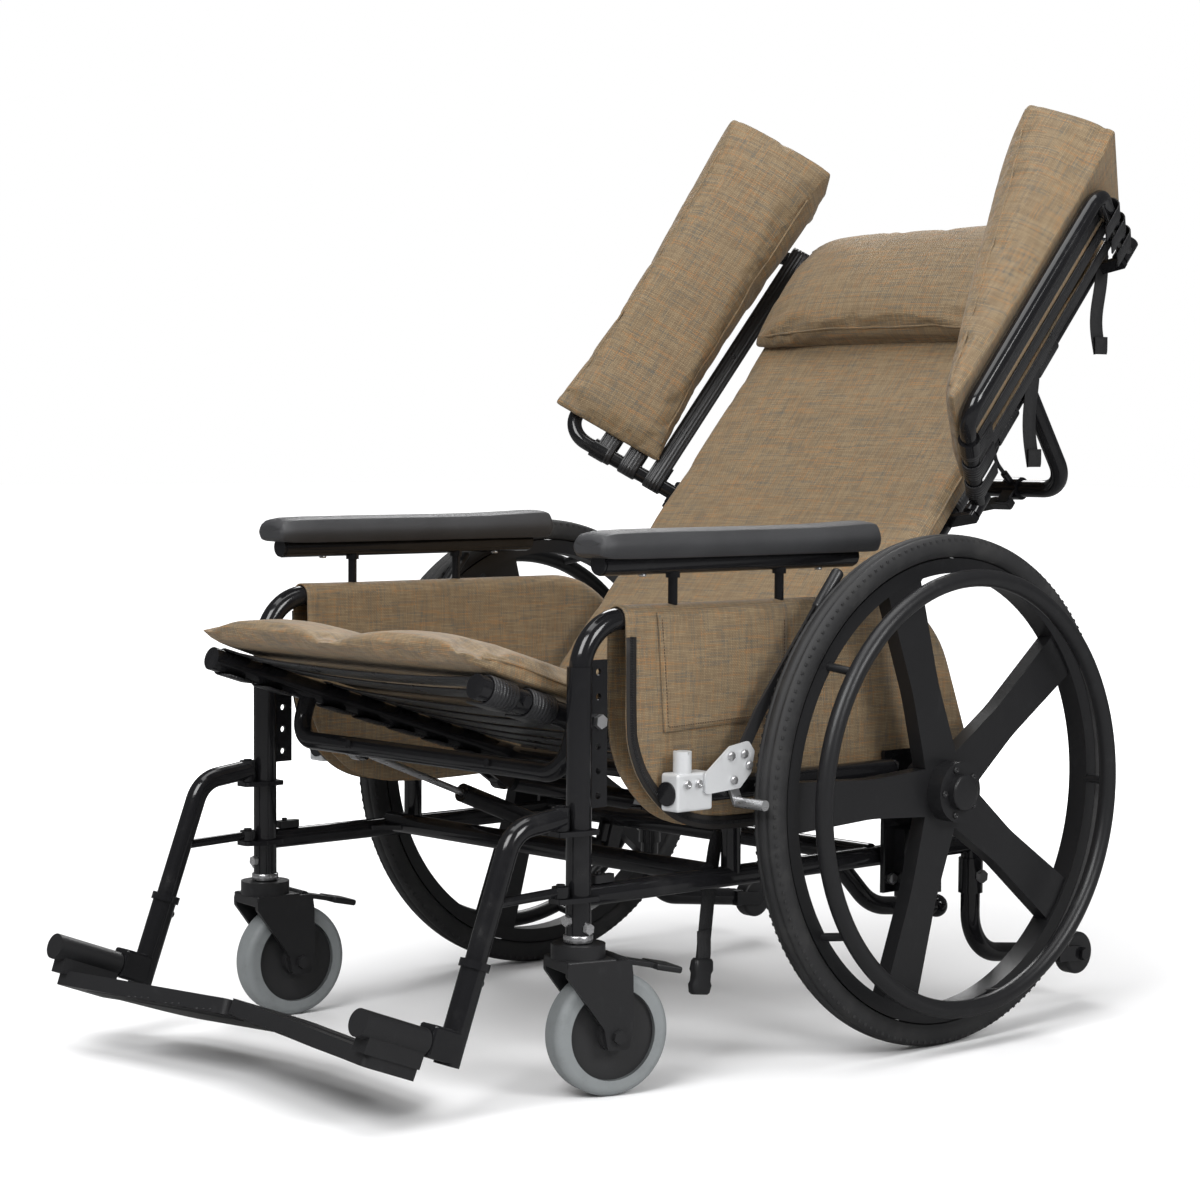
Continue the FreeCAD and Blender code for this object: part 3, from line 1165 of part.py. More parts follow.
def main():
    """Build every node, then move the origin to the middle of the base and export."""
    nodes = {}
    frames = {}
    bolts = []
    for side in (1, -1):
        left_bolts = frame_bolts()
        left_frame = side_frame(left_bolts)
        left_bracket = axle_bracket(left_frame, left_bolts)
        lock = lock_housing(left_frame)
        holes = [left_frame, left_bracket, lock, *left_bolts]
        for y in ARM_POSTS:
            holes.append(rod(V(ARM_X, y, SOCKET_BOTTOM), V(ARM_X, y, TOP_Z + 40), ARM_POST_D + 4))
        name = NAMES[side]
        frames[side] = mirrored(left_frame, side)
        bolts += [mirrored(piece, side) for piece in left_bolts]
        nodes["side_frame_" + name] = [frames[side]]
        nodes["side_panel_" + name] = [mirrored(piece, side) for piece in side_panel(holes)]
        nodes.setdefault("axle_brackets", []).append(mirrored(left_bracket, side))
        nodes.setdefault("wheel_lock_housings", []).append(mirrored(lock, side))
        nodes.setdefault("antitip_arms", []).append(mirrored(antitip_arm(), side))
        nodes["antitip_wheel_" + name] = [mirrored(antitip_wheel(), side)]
        nodes["lock_handle_" + name] = [mirrored(piece, side) for piece in lock_handle()]
        nodes["lock_shoe_" + name] = [mirrored(lock_shoe(), side)]
        nodes["rear_wheel_" + name] = [mirrored(rear_wheel(), side)]
        nodes["rear_tyre_" + name] = [mirrored(rear_tyre(), side)]
        stem = caster_place(side)
        nodes["caster_fork_" + name] = [moved(caster_fork(), stem)]
        nodes["caster_wheel_" + name] = [moved(piece, stem) for piece in caster_wheel()]
        nodes["caster_pedal_" + name] = [moved(caster_pedal(), stem)]
        arm = arm_frame()
        nodes["arm_frame_" + name] = [mirrored(piece, side) for piece in arm]
        nodes["arm_pad_" + name] = [mirrored(arm_pad(arm), side)]
        foot = foot_place()
        nodes["hanger_" + name] = [mirrored(hanger(), side)]
        nodes["hanger_latch_" + name] = [mirrored(hanger_latch(), side)]
        nodes["extension_" + name] = [mirrored(moved(extension(), foot), side)]
        nodes["footplate_" + name] = [mirrored(moved(footplate(side), foot), side)]
        wing = wing_place(side)
        nodes["wing_frame_" + name] = [mirrored(moved(wing_frame(), wing), side)]
        nodes["wing_straps_" + name] = [mirrored(moved(piece, wing), side) for piece in wing_straps()]
        nodes["wing_pad_" + name] = [mirrored(moved(wing_pad(side), wing), side)]
    nodes["frame_bolts"] = bolts
    nodes["base_cross_tubes"] = [cross_tubes([frames[1], frames[-1]])]
    nodes["seat_belt"] = seat_belt(frames[1])
    nodes["seat_frame"] = [moved(piece, SEAT) for piece in seat_frame()]
    nodes["seat_straps"] = [moved(piece, SEAT) for piece in seat_straps()]
    nodes["seat_cushion"] = [moved(seat_cushion(), SEAT)]
    canes = back_frame()
    handle = push_handle(canes)
    nodes["back_frame"] = [moved(canes, BACK)]
    nodes["back_straps"] = [moved(piece, BACK) for piece in back_straps()]
    nodes["back_cushion"] = [moved(back_cushion(), BACK)]
    nodes["head_pillow"] = [moved(head_pillow(), BACK)]
    nodes["push_handle"] = [moved(handle, BACK)]
    nodes["control_cables"] = [moved(piece, BACK) for piece in control_cables()]
    nodes["strap_tails"] = strap_tails()
    nodes["tilt_release_lever"] = [moved(release_lever(1), BACK)]
    nodes["recline_release_lever"] = [moved(release_lever(-1), BACK)]
    recline_low = SEAT.multVec(V(0, *RECLINE_LOW))
    recline_high = BACK.multVec(V(0, *RECLINE_HIGH))
    springs = (
        ("tilt", TILT_LOW, TILT_HIGH, TILT_SPRING_X),
        ("recline", (recline_low.y, recline_low.z), (recline_high.y, recline_high.z), RECLINE_SPRING_X),
    )
    for name, low, high, x in springs:
        body, piston = spring(low, high, x, 0.6, SPRING_PIN + 2 * RUN, SPRING_EYE_BORE)
        nodes[name + "_cylinder"] = [body]
        nodes[name + "_rod"] = [piston]
    box = Part.makeCompound([shape for shapes in nodes.values() for shape in shapes]).optimalBoundingBox(False)
    shift = V(-(box.XMin + box.XMax) / 2, -(box.YMin + box.YMax) / 2, -box.ZMin)
    print("nodes", len(nodes), "size", round(box.XLength, 1), round(box.YLength, 1), round(box.ZLength, 1))
    print("shift", [round(value, 3) for value in shift])
    for name, shapes in nodes.items():
        export(name, shapes, shift)


main()
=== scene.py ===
"""Soft goods, wheels, finishes, stage and camera of a tilt-in-space wheelchair, built round its packed frame.

Metres, +Z up, in the frame's own axes: the chair faces -Y and +X is the sitter's left.
"""
import json
import math

import bmesh
import bpy
from bpy.props import FloatProperty, FloatVectorProperty, IntProperty, PointerProperty
from mathutils import Matrix, Vector
from mathutils.bvhtree import BVHTree


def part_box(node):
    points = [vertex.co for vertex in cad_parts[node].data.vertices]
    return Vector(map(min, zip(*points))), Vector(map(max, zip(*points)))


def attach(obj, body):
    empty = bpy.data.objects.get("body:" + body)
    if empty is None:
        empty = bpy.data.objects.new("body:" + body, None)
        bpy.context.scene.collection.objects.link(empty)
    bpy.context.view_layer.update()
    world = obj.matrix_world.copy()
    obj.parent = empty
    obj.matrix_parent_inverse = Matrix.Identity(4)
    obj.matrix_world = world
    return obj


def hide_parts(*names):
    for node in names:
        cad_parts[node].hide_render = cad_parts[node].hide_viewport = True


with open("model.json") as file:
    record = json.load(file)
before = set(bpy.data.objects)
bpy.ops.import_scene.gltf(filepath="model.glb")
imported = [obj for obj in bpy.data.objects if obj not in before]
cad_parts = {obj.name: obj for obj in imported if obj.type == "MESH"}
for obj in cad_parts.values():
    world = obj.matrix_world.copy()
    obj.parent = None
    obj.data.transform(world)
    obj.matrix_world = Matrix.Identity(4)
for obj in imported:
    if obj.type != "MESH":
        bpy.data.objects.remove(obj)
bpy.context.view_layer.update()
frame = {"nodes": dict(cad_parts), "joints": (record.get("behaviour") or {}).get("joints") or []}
NODES = frame["nodes"]
JOINTS = {joint["name"]: joint for joint in frame["joints"]}

bl_info = {
    "name": "Tilt wheelchair",
    "version": (1, 0, 0),
    "blender": (4, 5, 0),
    "location": "View3D > Sidebar > Wheelchair",
    "description": "Builds the soft goods, finishes and stage of a tilt-in-space wheelchair",
    "category": "Object",
}

X_AXIS = Vector((1, 0, 0))
Y_AXIS = Vector((0, 1, 0))
Z_AXIS = Vector((0, 0, 1))
SIDES = {1: "left", -1: "right"}

# Places that the frame gives
PIVOT_BEHIND_POST = 0.024
POST_Y = JOINTS["seat_tilt"]["pos_m"][1] - PIVOT_BEHIND_POST
POST_X = JOINTS["hanger_swing_left"]["pos_m"][0]
SEAT_TILT = math.radians(17.5)
BACK_LEAN = math.radians(41.5)
HINGE_IN_BACK = Vector((0, 0.046, -0.0113))
WING_HINGE = Vector((0.249, 0.034, 0))
WING_SWING = {1: math.radians(27), -1: math.radians(42)}

SEAT = Matrix.Translation(JOINTS["seat_tilt"]["pos_m"]) @ Matrix.Rotation(-SEAT_TILT, 4, "X")
BACK_TURN = Matrix.Rotation(-BACK_LEAN, 4, "X")
BACK = Matrix.Translation(Vector(JOINTS["back_recline"]["pos_m"]) - BACK_TURN @ HINGE_IN_BACK) @ BACK_TURN


def post(x, y, z):
    """Point from its place measured from the plane of the front posts."""
    return Vector((x, y + POST_Y, z))


def wing_frame(side):
    """Wing's own frame at its hinge: local -Y reaches forward and Z runs up the back."""
    placed = BACK @ Matrix.Translation(WING_HINGE) @ Matrix.Rotation(WING_SWING[side], 4, "Z")
    return placed if side > 0 else Matrix.Scale(-1, 4, X_AXIS) @ placed


# Sizes and colours a user would change

def metres(name, description, default):
    """Size in metres among the scene's settings."""
    return FloatProperty(name=name, description=description, default=default, unit="LENGTH")


def paint(name, description, default):
    """Colour among the scene's settings."""
    return FloatVectorProperty(name=name, description=description, default=default, subtype="COLOR")


class SeatSizes(bpy.types.PropertyGroup):
    """Seat cushion and its sling straps."""
    half: metres("Half width", "Middle to side of the cushion", 0.235)
    front: metres("Front edge", "Front edge before the pivot", -0.162)
    rear: metres("Rear edge", "Rear edge behind the pivot", 0.308)
    base: metres("Underside", "Underside above the side tubes' middle", 0.0166)
    side: metres("Side height", "Top of the cushion's sides", 0.044)
    crown: metres("Crown", "Rise of each roll's middle", 0.007)
    tube_x: metres("Side tube", "Middle of the side tubes", 0.227)
    tube_r: metres("Tube radius", "Radius of the side tubes", 0.013)
    strap_w: metres("Strap width", "Width of a seat strap", 0.035)
    pitch: metres("Strap pitch", "From strap to strap", 0.053)


class BackSizes(bpy.types.PropertyGroup):
    """Back cushion, head pillow and the straps behind them."""
    low: metres("Lower edge", "Cushion's lower edge up the back", 0.012)
    high: metres("Upper edge", "Cushion's upper edge up the back", 0.795)
    rear: metres("Rear face", "Depth of the cushion's rear face", 0.0317)
    cane_x: metres("Cane", "Middle of the back canes", 0.200)
    cane_r: metres("Cane radius", "Radius of the back canes", 0.011)
    cane_y: metres("Cane depth", "Depth of the canes behind the face", 0.046)
    strap_w: metres("Strap width", "Width of a back strap", 0.050)
    straps: IntProperty(name="Straps", description="Number of back straps", default=6)
    pillow_half: metres("Pillow half width", "Middle to end", 0.226)
    pillow_low: metres("Pillow foot", "Lower edge of the pillow", 0.600)
    pillow_high: metres("Pillow top", "Upper edge of the pillow", 0.782)
    pillow_deep: metres("Pillow depth", "Depth of the pillow's middle", 0.052)


class WingSizes(bpy.types.PropertyGroup):
    """Wing bolsters and the straps that carry them."""
    long: metres("Length", "Length of a bolster", 0.393)
    near: metres("Near edge", "Edge beside the hinge", 0.044)
    far: metres("Far edge", "Free edge of the bolster", 0.193)
    face: metres("Back face", "Bolster's back face from the hoop", 0.012)
    deep: metres("Depth", "Depth of the bolster's upper end", 0.121)
    tube_r: metres("Tube radius", "Radius of the hoop's tube", 0.00925)
    strap_w: metres("Strap width", "Width of a wing strap", 0.024)


class PanelSizes(bpy.types.PropertyGroup):
    """Cloth side panels that hang from the frame's top tubes."""
    half: metres("Half gap", "Half the distance between the layers", 0.0132)
    cloth: metres("Cloth", "Thickness of the panel's cloth", 0.0018)
    hem: metres("Hem", "Width of the zip's tape", 0.014)
    stitch: metres("Stitch", "Length of one stitch", 0.0034)


class ArmSizes(bpy.types.PropertyGroup):
    """Armrest pads."""
    half: metres("Half width", "Half the pad's width", 0.029)
    front: metres("Front", "Front end behind the post", 0.008)
    rear: metres("Rear", "Rear end behind the post", 0.417)
    low: metres("Underside", "Height of the underside", 0.541)
    top: metres("Top", "Height of the top", 0.571)


class WheelSizes(bpy.types.PropertyGroup):
    """Tyres and caster wheels."""
    radius: metres("Tyre radius", "Axle to tread", 0.280)
    bead: metres("Bead radius", "Axle to the rim", 0.254)
    half: metres("Half width", "Half the tyre's width", 0.016)
    blocks: IntProperty(name="Tread blocks", description="Blocks round one shoulder", default=170)
    disc: metres("Caster disc", "Radius of a caster's dark disc", 0.047)


class FinishColours(bpy.types.PropertyGroup):
    """Main colours."""
    cloth: paint("Cloth", "Brown thread", (0.161, 0.106, 0.053))
    light: paint("Light thread", "Tan thread", (0.312, 0.228, 0.124))
    orange: paint("Orange thread", "Accent thread", (0.350, 0.172, 0.056))
    slate: paint("Slate thread", "Accent thread", (0.105, 0.105, 0.086))
    enamel: paint("Enamel", "Tubes", (0.008, 0.008, 0.009))
    tyre: paint("Tyre", "Rear tyres", (0.015, 0.015, 0.016))
    caster: paint("Caster tyre", "Caster tyres", (0.190, 0.204, 0.208))


GROUPS = {
    "chair_seat": SeatSizes,
    "chair_back": BackSizes,
    "chair_wing": WingSizes,
    "chair_panel": PanelSizes,
    "chair_arm": ArmSizes,
    "chair_wheel": WheelSizes,
    "chair_colour": FinishColours,
}


# Shader expressions

class Flow:
    """A socket's value in a material, with arithmetic that adds Math nodes."""

    def __init__(self, shader, socket):
        self.shader = shader
        self.socket = socket

    def math(self, operation, other=None, clamp=False):
        """Result of one Math node on this value."""
        inputs = {0: self}
        if other is not None:
            inputs[1] = other
        settings = {"operation": operation, "use_clamp": clamp}
        return self.shader.node("ShaderNodeMath", settings, inputs)("Value")

    def __add__(self, other):
        return self.math("ADD", other)

    __radd__ = __add__

    def __mul__(self, other):
        return self.math("MULTIPLY", other)

    __rmul__ = __mul__

    def __sub__(self, other):
        return self.math("SUBTRACT", other)

    def __rsub__(self, other):
        return (self * -1) + other

    def __truediv__(self, other):
        return self.math("DIVIDE", other)

    def floor(self):
        return self.math("FLOOR")

    def sine(self):
        return self.math("SINE")

    def above(self, limit):
        return self.math("GREATER_THAN", limit)

    def between(self, low, high):
        """0 at low, 1 at high, smooth in between."""
        settings = {"interpolation_type": "SMOOTHSTEP"}
        inputs = {"Value": self, "From Min": low, "From Max": high}
        return self.shader.node("ShaderNodeMapRange", settings, inputs)("Result")


class Shader:
    """A material under construction."""

    def __init__(self, name):
        self.material = bpy.data.materials.new(name)
        self.material.use_nodes = True
        self.tree = self.material.node_tree
        self.tree.nodes.clear()

    def node(self, kind, settings=None, inputs=None):
        """Adds a node, sets it and feeds its sockets, and returns what reads its outputs by name."""
        made = self.tree.nodes.new(kind)
        for key, value in (settings or {}).items():
            setattr(made, key, value)
        for key, value in (inputs or {}).items():
            socket = made.inputs[key]
            if isinstance(value, Flow):
                self.tree.links.new(value.socket, socket)
            elif socket.type == "RGBA" and len(value) == 3:
                socket.default_value = (*value, 1)
            else:
                socket.default_value = value
        return lambda output: Flow(self, made.outputs[output])

    def mix(self, share, first, second):
        """Colour between two colours."""
        inputs = {"Factor": share, 6: first, 7: second}
        return self.node("ShaderNodeMix", {"data_type": "RGBA"}, inputs)(2)

    def vector(self, operation, first, second=None, output="Vector"):
        """Result of one Vector Math node."""
        inputs = {0: first} if second is None else {0: first, 1: second}
        return self.node("ShaderNodeVectorMath", {"operation": operation}, inputs)(output)

    def place(self):
        """Object coordinates."""
        return self.node("ShaderNodeTexCoord")("Object")

    def split(self, vector):
        """X, Y and Z of a vector."""
        read = self.node("ShaderNodeSeparateXYZ", None, {"Vector": vector})
        return read("X"), read("Y"), read("Z")

    def noise(self, vector, scale, detail=2.0, roughness=0.5):
        """Noise from 0 to 1."""
        inputs = {"Vector": vector, "Scale": scale, "Detail": detail, "Roughness": roughness}
        return self.node("ShaderNodeTexNoise", None, inputs)("Fac")

    def stretched(self, vector, scale):
        """Vector with its axes scaled."""
        return self.node("ShaderNodeMapping", None, {"Vector": vector, "Scale": scale})("Vector")

    def chance(self, value):
        """Random number from 0 to 1 that belongs to a whole number."""
        return self.node("ShaderNodeTexWhiteNoise", {"noise_dimensions": "1D"}, {"W": value})("Value")

    def bump(self, height, distance, strength=1.0):
        """Normal tilted by a height."""
        inputs = {"Height": height, "Distance": distance, "Strength": strength}
        return self.node("ShaderNodeBump", None, inputs)("Normal")

    def finish(self, **inputs):
        """Closes the material with its main shader."""
        named = {key.replace("_", " ").title().replace("Ior", "IOR"): value for key, value in inputs.items()}
        surface = self.node("ShaderNodeBsdfPrincipled", None, named)("BSDF")
        self.node("ShaderNodeOutputMaterial", None, {"Surface": surface})
        return self.material


# Width of a thread, lengths of a slub in metres, and the share of slubs that aren't slate
THREAD = 0.0017
WEFT_SLUB = 0.026
WARP_SLUB = 0.021
SLUB_SHIFT = 9.0
PLAIN_SHARE = 0.90
WEFT_SEED = 11.0
WARP_SEED = 57.0


def slub_colour(shader, value, run, slub, seed):
    """Colour of the thread at a value, which changes after each slub of its run."""
    colours = bpy.context.scene.chair_colour
    thread = (value / THREAD).floor()
    piece = (run / slub + shader.chance(thread + seed) * SLUB_SHIFT).floor()
    chance = shader.chance(thread * 7.31 + piece * 3.17 + seed)
    plain = shader.mix(chance, tuple(colours.cloth), tuple(colours.light))
    warm = shader.mix(chance.math("PINGPONG", 0.11).above(0.100), plain, tuple(colours.orange))
    rare = shader.chance(thread * 1.9 + piece * 5.3 + seed * 3.0)
    return shader.mix(rare.above(PLAIN_SHARE), warm, tuple(colours.slate))


def woven_cloth():
    """Brown melange cloth: short tan, brown, orange and slate slubs both ways in a plain weave."""
    colours = bpy.context.scene.chair_colour
    shader = Shader("brown_woven_cloth")
    uv = shader.node("ShaderNodeUVMap", {"uv_map": "Weave"})("UV")
    across, along, _ = shader.split(uv)
    weft = slub_colour(shader, along, across, WEFT_SLUB, WEFT_SEED)
    warp = slub_colour(shader, across, along, WARP_SLUB, WARP_SEED)
    turn = math.pi / THREAD
    weave = (across * turn).sine() * (along * turn).sine()
    picked = shader.mix(weave * 0.26 + 0.46, weft, warp)
    # Painted shade: the cloth is darker in the weave's low points between the threads
    shade_between_threads = (weave * weave).between(0.0, 0.35)
    dark = tuple(value * 0.45 for value in colours.cloth)
    shaded = shader.mix(shade_between_threads * 0.75 + 0.25, dark, picked)
    wear = shader.noise(shader.place(), 7.0, 4.0)
    colour = shader.mix(wear * 0.30, shaded, tuple(colours.cloth))
    return shader.finish(base_color=colour, roughness=0.66 + wear * 0.14,
                         normal=shader.bump(weave + wear * 2.0, 0.00020, 0.5), sheen_weight=0.08)


DUST = (0.09, 0.088, 0.085)


def black_enamel():
    """Glossy black coat of the tubes, with a little orange peel and dust."""
    shader = Shader("black_enamel")
    peel = shader.noise(shader.place(), 420.0, 1.0)
    dust = shader.noise(shader.place(), 26.0, 5.0, 0.7).between(0.5, 0.85)
    colour = shader.mix(dust * 0.12, tuple(bpy.context.scene.chair_colour.enamel), DUST)
    return shader.finish(base_color=colour, roughness=0.13 + dust * 0.14,
                         normal=shader.bump(peel, 0.0001, 0.25), specular_ior_level=0.45)


def moulded_plastic(name, colour, grain, roughness):
    """Moulded plastic with a fine grain and faint scuffs."""
    shader = Shader(name)
    place = shader.place()
    fine = shader.noise(place, grain, 2.0, 0.6)
    scuff = shader.noise(shader.stretched(place, (9.0, 30.0, 14.0)), 3.0, 6.0, 0.7).between(0.55, 0.8)
    tint = shader.mix(scuff * 0.3, colour, tuple(value * 2.2 + 0.01 for value in colour))
    return shader.finish(base_color=tint, roughness=roughness + scuff * 0.12,
                         normal=shader.bump(fine, 0.00025, 0.45), specular_ior_level=0.35)


def metal(name, colour, roughness, brushing):
    """Bare metal with fine brushing."""
    shader = Shader(name)
    place = shader.place()
    lines = shader.noise(shader.stretched(place, (brushing, brushing * 0.1, brushing)), 8.0, 3.0)
    smut = shader.noise(place, 60.0, 4.0).between(0.5, 0.8)
    tint = shader.mix(smut * 0.35, colour, tuple(value * 0.5 for value in colour))
    return shader.finish(base_color=tint, metallic=0.9, roughness=roughness + lines * 0.14,
                         normal=shader.bump(lines, 0.00008, 0.3))


CAST_PAINT = (0.62, 0.63, 0.64)
CAST_GRIME = (0.24, 0.24, 0.24)


def cast_metal():
    """Silver-white painted casting of the wheel locks."""
    shader = Shader("cast_silver_paint")
    grain = shader.noise(shader.place(), 300.0, 3.0)
    grime = shader.noise(shader.place(), 55.0, 5.0).between(0.55, 0.85)
    tint = shader.mix(grime * 0.35, CAST_PAINT, CAST_GRIME)
    return shader.finish(base_color=tint, metallic=0.35, roughness=0.34 + grain * 0.2,
                         normal=shader.bump(grain, 0.0002, 0.5))


WEB_PICK = 0.0016


def strap_web(name, colour, roughness, ribs):
    """Webbing with lengthwise ribs and a fine cross weave."""
    shader = Shader(name)
    uv = shader.node("ShaderNodeUVMap", {"uv_map": "Weave"})("UV")
    across, along, _ = shader.split(uv)
    rib = (across * (math.tau / ribs)).sine()
    cross = (along * (math.tau / WEB_PICK)).sine()
    wear = shader.noise(shader.place(), 40.0, 4.0)
    # Paler with random wear and along the ribs' crests
    paler_tone = tuple(value * 2.4 for value in colour)
    tint = shader.mix(wear * 0.5 + rib.math("MAXIMUM", 0.0) * 0.2, colour, paler_tone)
    return shader.finish(base_color=tint, roughness=roughness + wear * 0.15,
                         normal=shader.bump(rib + cross * 0.35, 0.0003, 0.7))


SKIN = (0.020, 0.020, 0.022)
WORN_SKIN = (0.044, 0.045, 0.048)


def armrest_skin():
    """Dark grey urethane skin with a leather grain."""
    shader = Shader("armrest_skin")
    place = shader.place()
    grain = {"Vector": place, "Scale": 520.0}
    cells = shader.node("ShaderNodeTexVoronoi", {"feature": "DISTANCE_TO_EDGE"}, grain)
    crease = cells("Distance").between(0.0, 0.12)
    wear = shader.noise(place, 18.0, 5.0, 0.65)
    tint = shader.mix(wear, SKIN, WORN_SKIN)
    return shader.finish(base_color=tint, roughness=0.42 + wear * 0.18,
                         normal=shader.bump(crease, 0.00018, 0.5))


TYRE_DUST = (0.046, 0.045, 0.043)


def tyre_rubber():
    """Grey-black tyre rubber with dust and faint moulding lines round the sidewall."""
    shader = Shader("tyre_rubber")
    place = shader.place()
    dust = shader.noise(place, 30.0, 6.0, 0.7).between(0.4, 0.8)
    tint = shader.mix(dust * 0.5, tuple(bpy.context.scene.chair_colour.tyre), TYRE_DUST)
    fine = shader.noise(place, 700.0, 2.0)
    return shader.finish(base_color=tint, roughness=0.66 + dust * 0.2, normal=shader.bump(fine, 0.0002, 0.5))


DISC_EDGE = 0.0004
CASTER_SCUFF = (0.120, 0.127, 0.130)
CASTER_DISC = (0.018, 0.018, 0.019)


def caster_two_tone(side):
    """Dark disc in the middle of a caster and its blue-grey tyre."""
    joint = JOINTS["caster_roll_" + SIDES[side]]
    axle = Vector(joint["pos_m"])
    way = Vector(joint["axis"])
    shader = Shader("caster_wheel_" + SIDES[side])
    place = shader.place()
    beside = shader.vector("CROSS_PRODUCT", shader.vector("SUBTRACT", place, axle), way)
    radius = shader.vector("LENGTH", beside, output="Value")
    disc = bpy.context.scene.chair_wheel.disc
    rubber = radius.between(disc - DISC_EDGE, disc + DISC_EDGE)
    scuff = shader.noise(place, 45.0, 6.0, 0.7).between(0.45, 0.8)
    fine = shader.noise(place, 520.0, 2.0)
    grey = shader.mix(scuff * 0.4, tuple(bpy.context.scene.chair_colour.caster), CASTER_SCUFF)
    tint = shader.mix(rubber, CASTER_DISC, grey)
    return shader.finish(base_color=tint, roughness=0.42 + rubber * 0.15 + scuff * 0.1,
                         normal=shader.bump(fine, 0.00018, 0.4))


FLOOR_TONES = ((0.82, 0.82, 0.825), (0.87, 0.87, 0.875))
FLOOR_MIRRORED = (0.20, 0.20, 0.20)
FLOOR_FADE = (0.9, 2.6)
BLACK = (0.0, 0.0, 0.0)
WHITE = (1.0, 1.0, 1.0)


def pale_floor():
    """Pale studio floor: white away from the chair for the camera, and dark in the chair's gloss."""
    shader = Shader("pale_floor")
    place = shader.place()
    cloud = shader.noise(place, 1.3, 3.0)
    tint = shader.mix(cloud, *FLOOR_TONES)
    away = shader.vector("LENGTH", place, output="Value").between(*FLOOR_FADE)
    ray = shader.node("ShaderNodeLightPath")
    glow = shader.mix(away * ray("Is Camera Ray"), BLACK, WHITE)
    tint = shader.mix(ray("Is Glossy Ray"), tint, FLOOR_MIRRORED)
    return shader.finish(base_color=tint, roughness=0.8, emission_color=glow, emission_strength=0.9,
                         specular_ior_level=0.1)


FINISHES = {}


def finish(name):
    """One of the chair's materials, made the first time it is asked for."""
    makers = {
        "cloth": woven_cloth,
        "enamel": black_enamel,
        "plastic": lambda: moulded_plastic("black_plastic", (0.014, 0.014, 0.015), 900.0, 0.38),
        "wheel": lambda: moulded_plastic("wheel_plastic", (0.012, 0.012, 0.013), 700.0, 0.34),
        "steel": lambda: metal("bright_steel", (0.62, 0.62, 0.63), 0.22, 40.0),
        "dark_steel": lambda: moulded_plastic("dark_steel", (0.020, 0.020, 0.021), 500.0, 0.30),
        "cast": cast_metal,
        "sling": lambda: strap_web("sling_strap", (0.012, 0.012, 0.013), 0.22, 0.0044),
        "webbing": lambda: strap_web("webbing", (0.010, 0.010, 0.011), 0.55, 0.0022),
        "armrest": armrest_skin,
        "tyre": tyre_rubber,
        "thread": lambda: moulded_plastic("seam_thread", (0.060, 0.038, 0.024), 2000.0, 0.7),
        "binding": lambda: moulded_plastic("dark_binding", (0.016, 0.014, 0.013), 1400.0, 0.6),
        "caster_left": lambda: caster_two_tone(1),
        "caster_right": lambda: caster_two_tone(-1),
        "floor": pale_floor,
    }
    if name not in FINISHES:
        FINISHES[name] = makers[name]()
    return FINISHES[name]


# Meshes

def piece_from(name, points, faces, material, smooth=True):
    """New object from points and faces."""
    mesh = bpy.data.meshes.new(name)
    mesh.from_pydata([tuple(point) for point in points], [], faces)
    mesh.update()
    if smooth:
        mesh.shade_smooth()
    mesh.materials.append(material)
    made = bpy.data.objects.new(name, mesh)
    bpy.context.scene.collection.objects.link(made)
    return made


def tidy_normals(made):
    """Faces of a closed mesh turned outwards."""
    mesh = bmesh.new()
    mesh.from_mesh(made.data)
    bmesh.ops.remove_doubles(mesh, verts=mesh.verts, dist=1e-6)
    bmesh.ops.recalc_face_normals(mesh, faces=mesh.faces)
    mesh.to_mesh(made.data)
    mesh.free()
    return made


def skin(rings, closed=True, capped=True):
    """Points and faces of a surface through rings of as many points."""
    count = len(rings[0])
    points = [point for ring in rings for point in ring]
    faces = []
    for i in range(len(rings) - 1):
        for j in range(count if closed else count - 1):
            k = (j + 1) % count
            faces.append((i * count + j, i * count + k, (i + 1) * count + k, (i + 1) * count + j))
    if capped:
        faces.append(tuple(reversed(range(count))))
        last = (len(rings) - 1) * count
        faces.append(tuple(range(last, last + count)))
    return points, faces


def settle(made):
    """Bakes an object's modifiers into its mesh."""
    graph = bpy.context.evaluated_depsgraph_get()
    graph.update()
    mesh = bpy.data.meshes.new_from_object(made.evaluated_get(graph))
    made.modifiers.clear()
    old = made.data
    made.data = mesh
    bpy.data.meshes.remove(old)
    return made


def refine(made):
    """Subdivides a mesh smoothly, once."""
    modifier = made.modifiers.new("Smooth", "SUBSURF")
    modifier.levels = 1
    modifier.render_levels = 1
    return settle(made)


def remesh(made, size):
    """Even quads of about the given size."""
    modifier = made.modifiers.new("Even", "REMESH")
    modifier.mode = "VOXEL"
    modifier.voxel_size = size
    settle(made)
    made.data.shade_smooth()
    return made


def swell(made, held, pressure, cap, slack=0.015, frames=18):
    """Fills a closed cover as cloth under pressure; held points stay and none moves further than the cap."""
    rest = [vertex.co.copy() for vertex in made.data.vertices]
    group = made.vertex_groups.new(name="held")
    for vertex in made.data.vertices:
        share = held(vertex.co)
        if share > 0:
            group.add([vertex.index], share, "REPLACE")
    cloth = made.modifiers.new("Cover", "CLOTH")
    settings = cloth.settings
    settings.quality = 4
    settings.mass = 0.2
    settings.use_pressure = True
    settings.uniform_pressure_force = pressure
    settings.shrink_min = -slack
    settings.tension_stiffness = 25
    settings.bending_stiffness = 2.0
    settings.vertex_group_mass = "held"
    settings.effector_weights.gravity = 0
    cloth.collision_settings.use_collision = False
    scene = bpy.context.scene
    for number in range(1, frames + 1):
        scene.frame_set(number)
    graph = bpy.context.evaluated_depsgraph_get()
    moved = [vertex.co.copy() for vertex in made.evaluated_get(graph).data.vertices]
    made.modifiers.clear()
    for vertex, before, after in zip(made.data.vertices, rest, moved):
        step = after - before
        if step.length > cap:
            step *= cap / step.length
        vertex.co = before + step
    made.vertex_groups.clear()
    scene.frame_set(1)
    return made


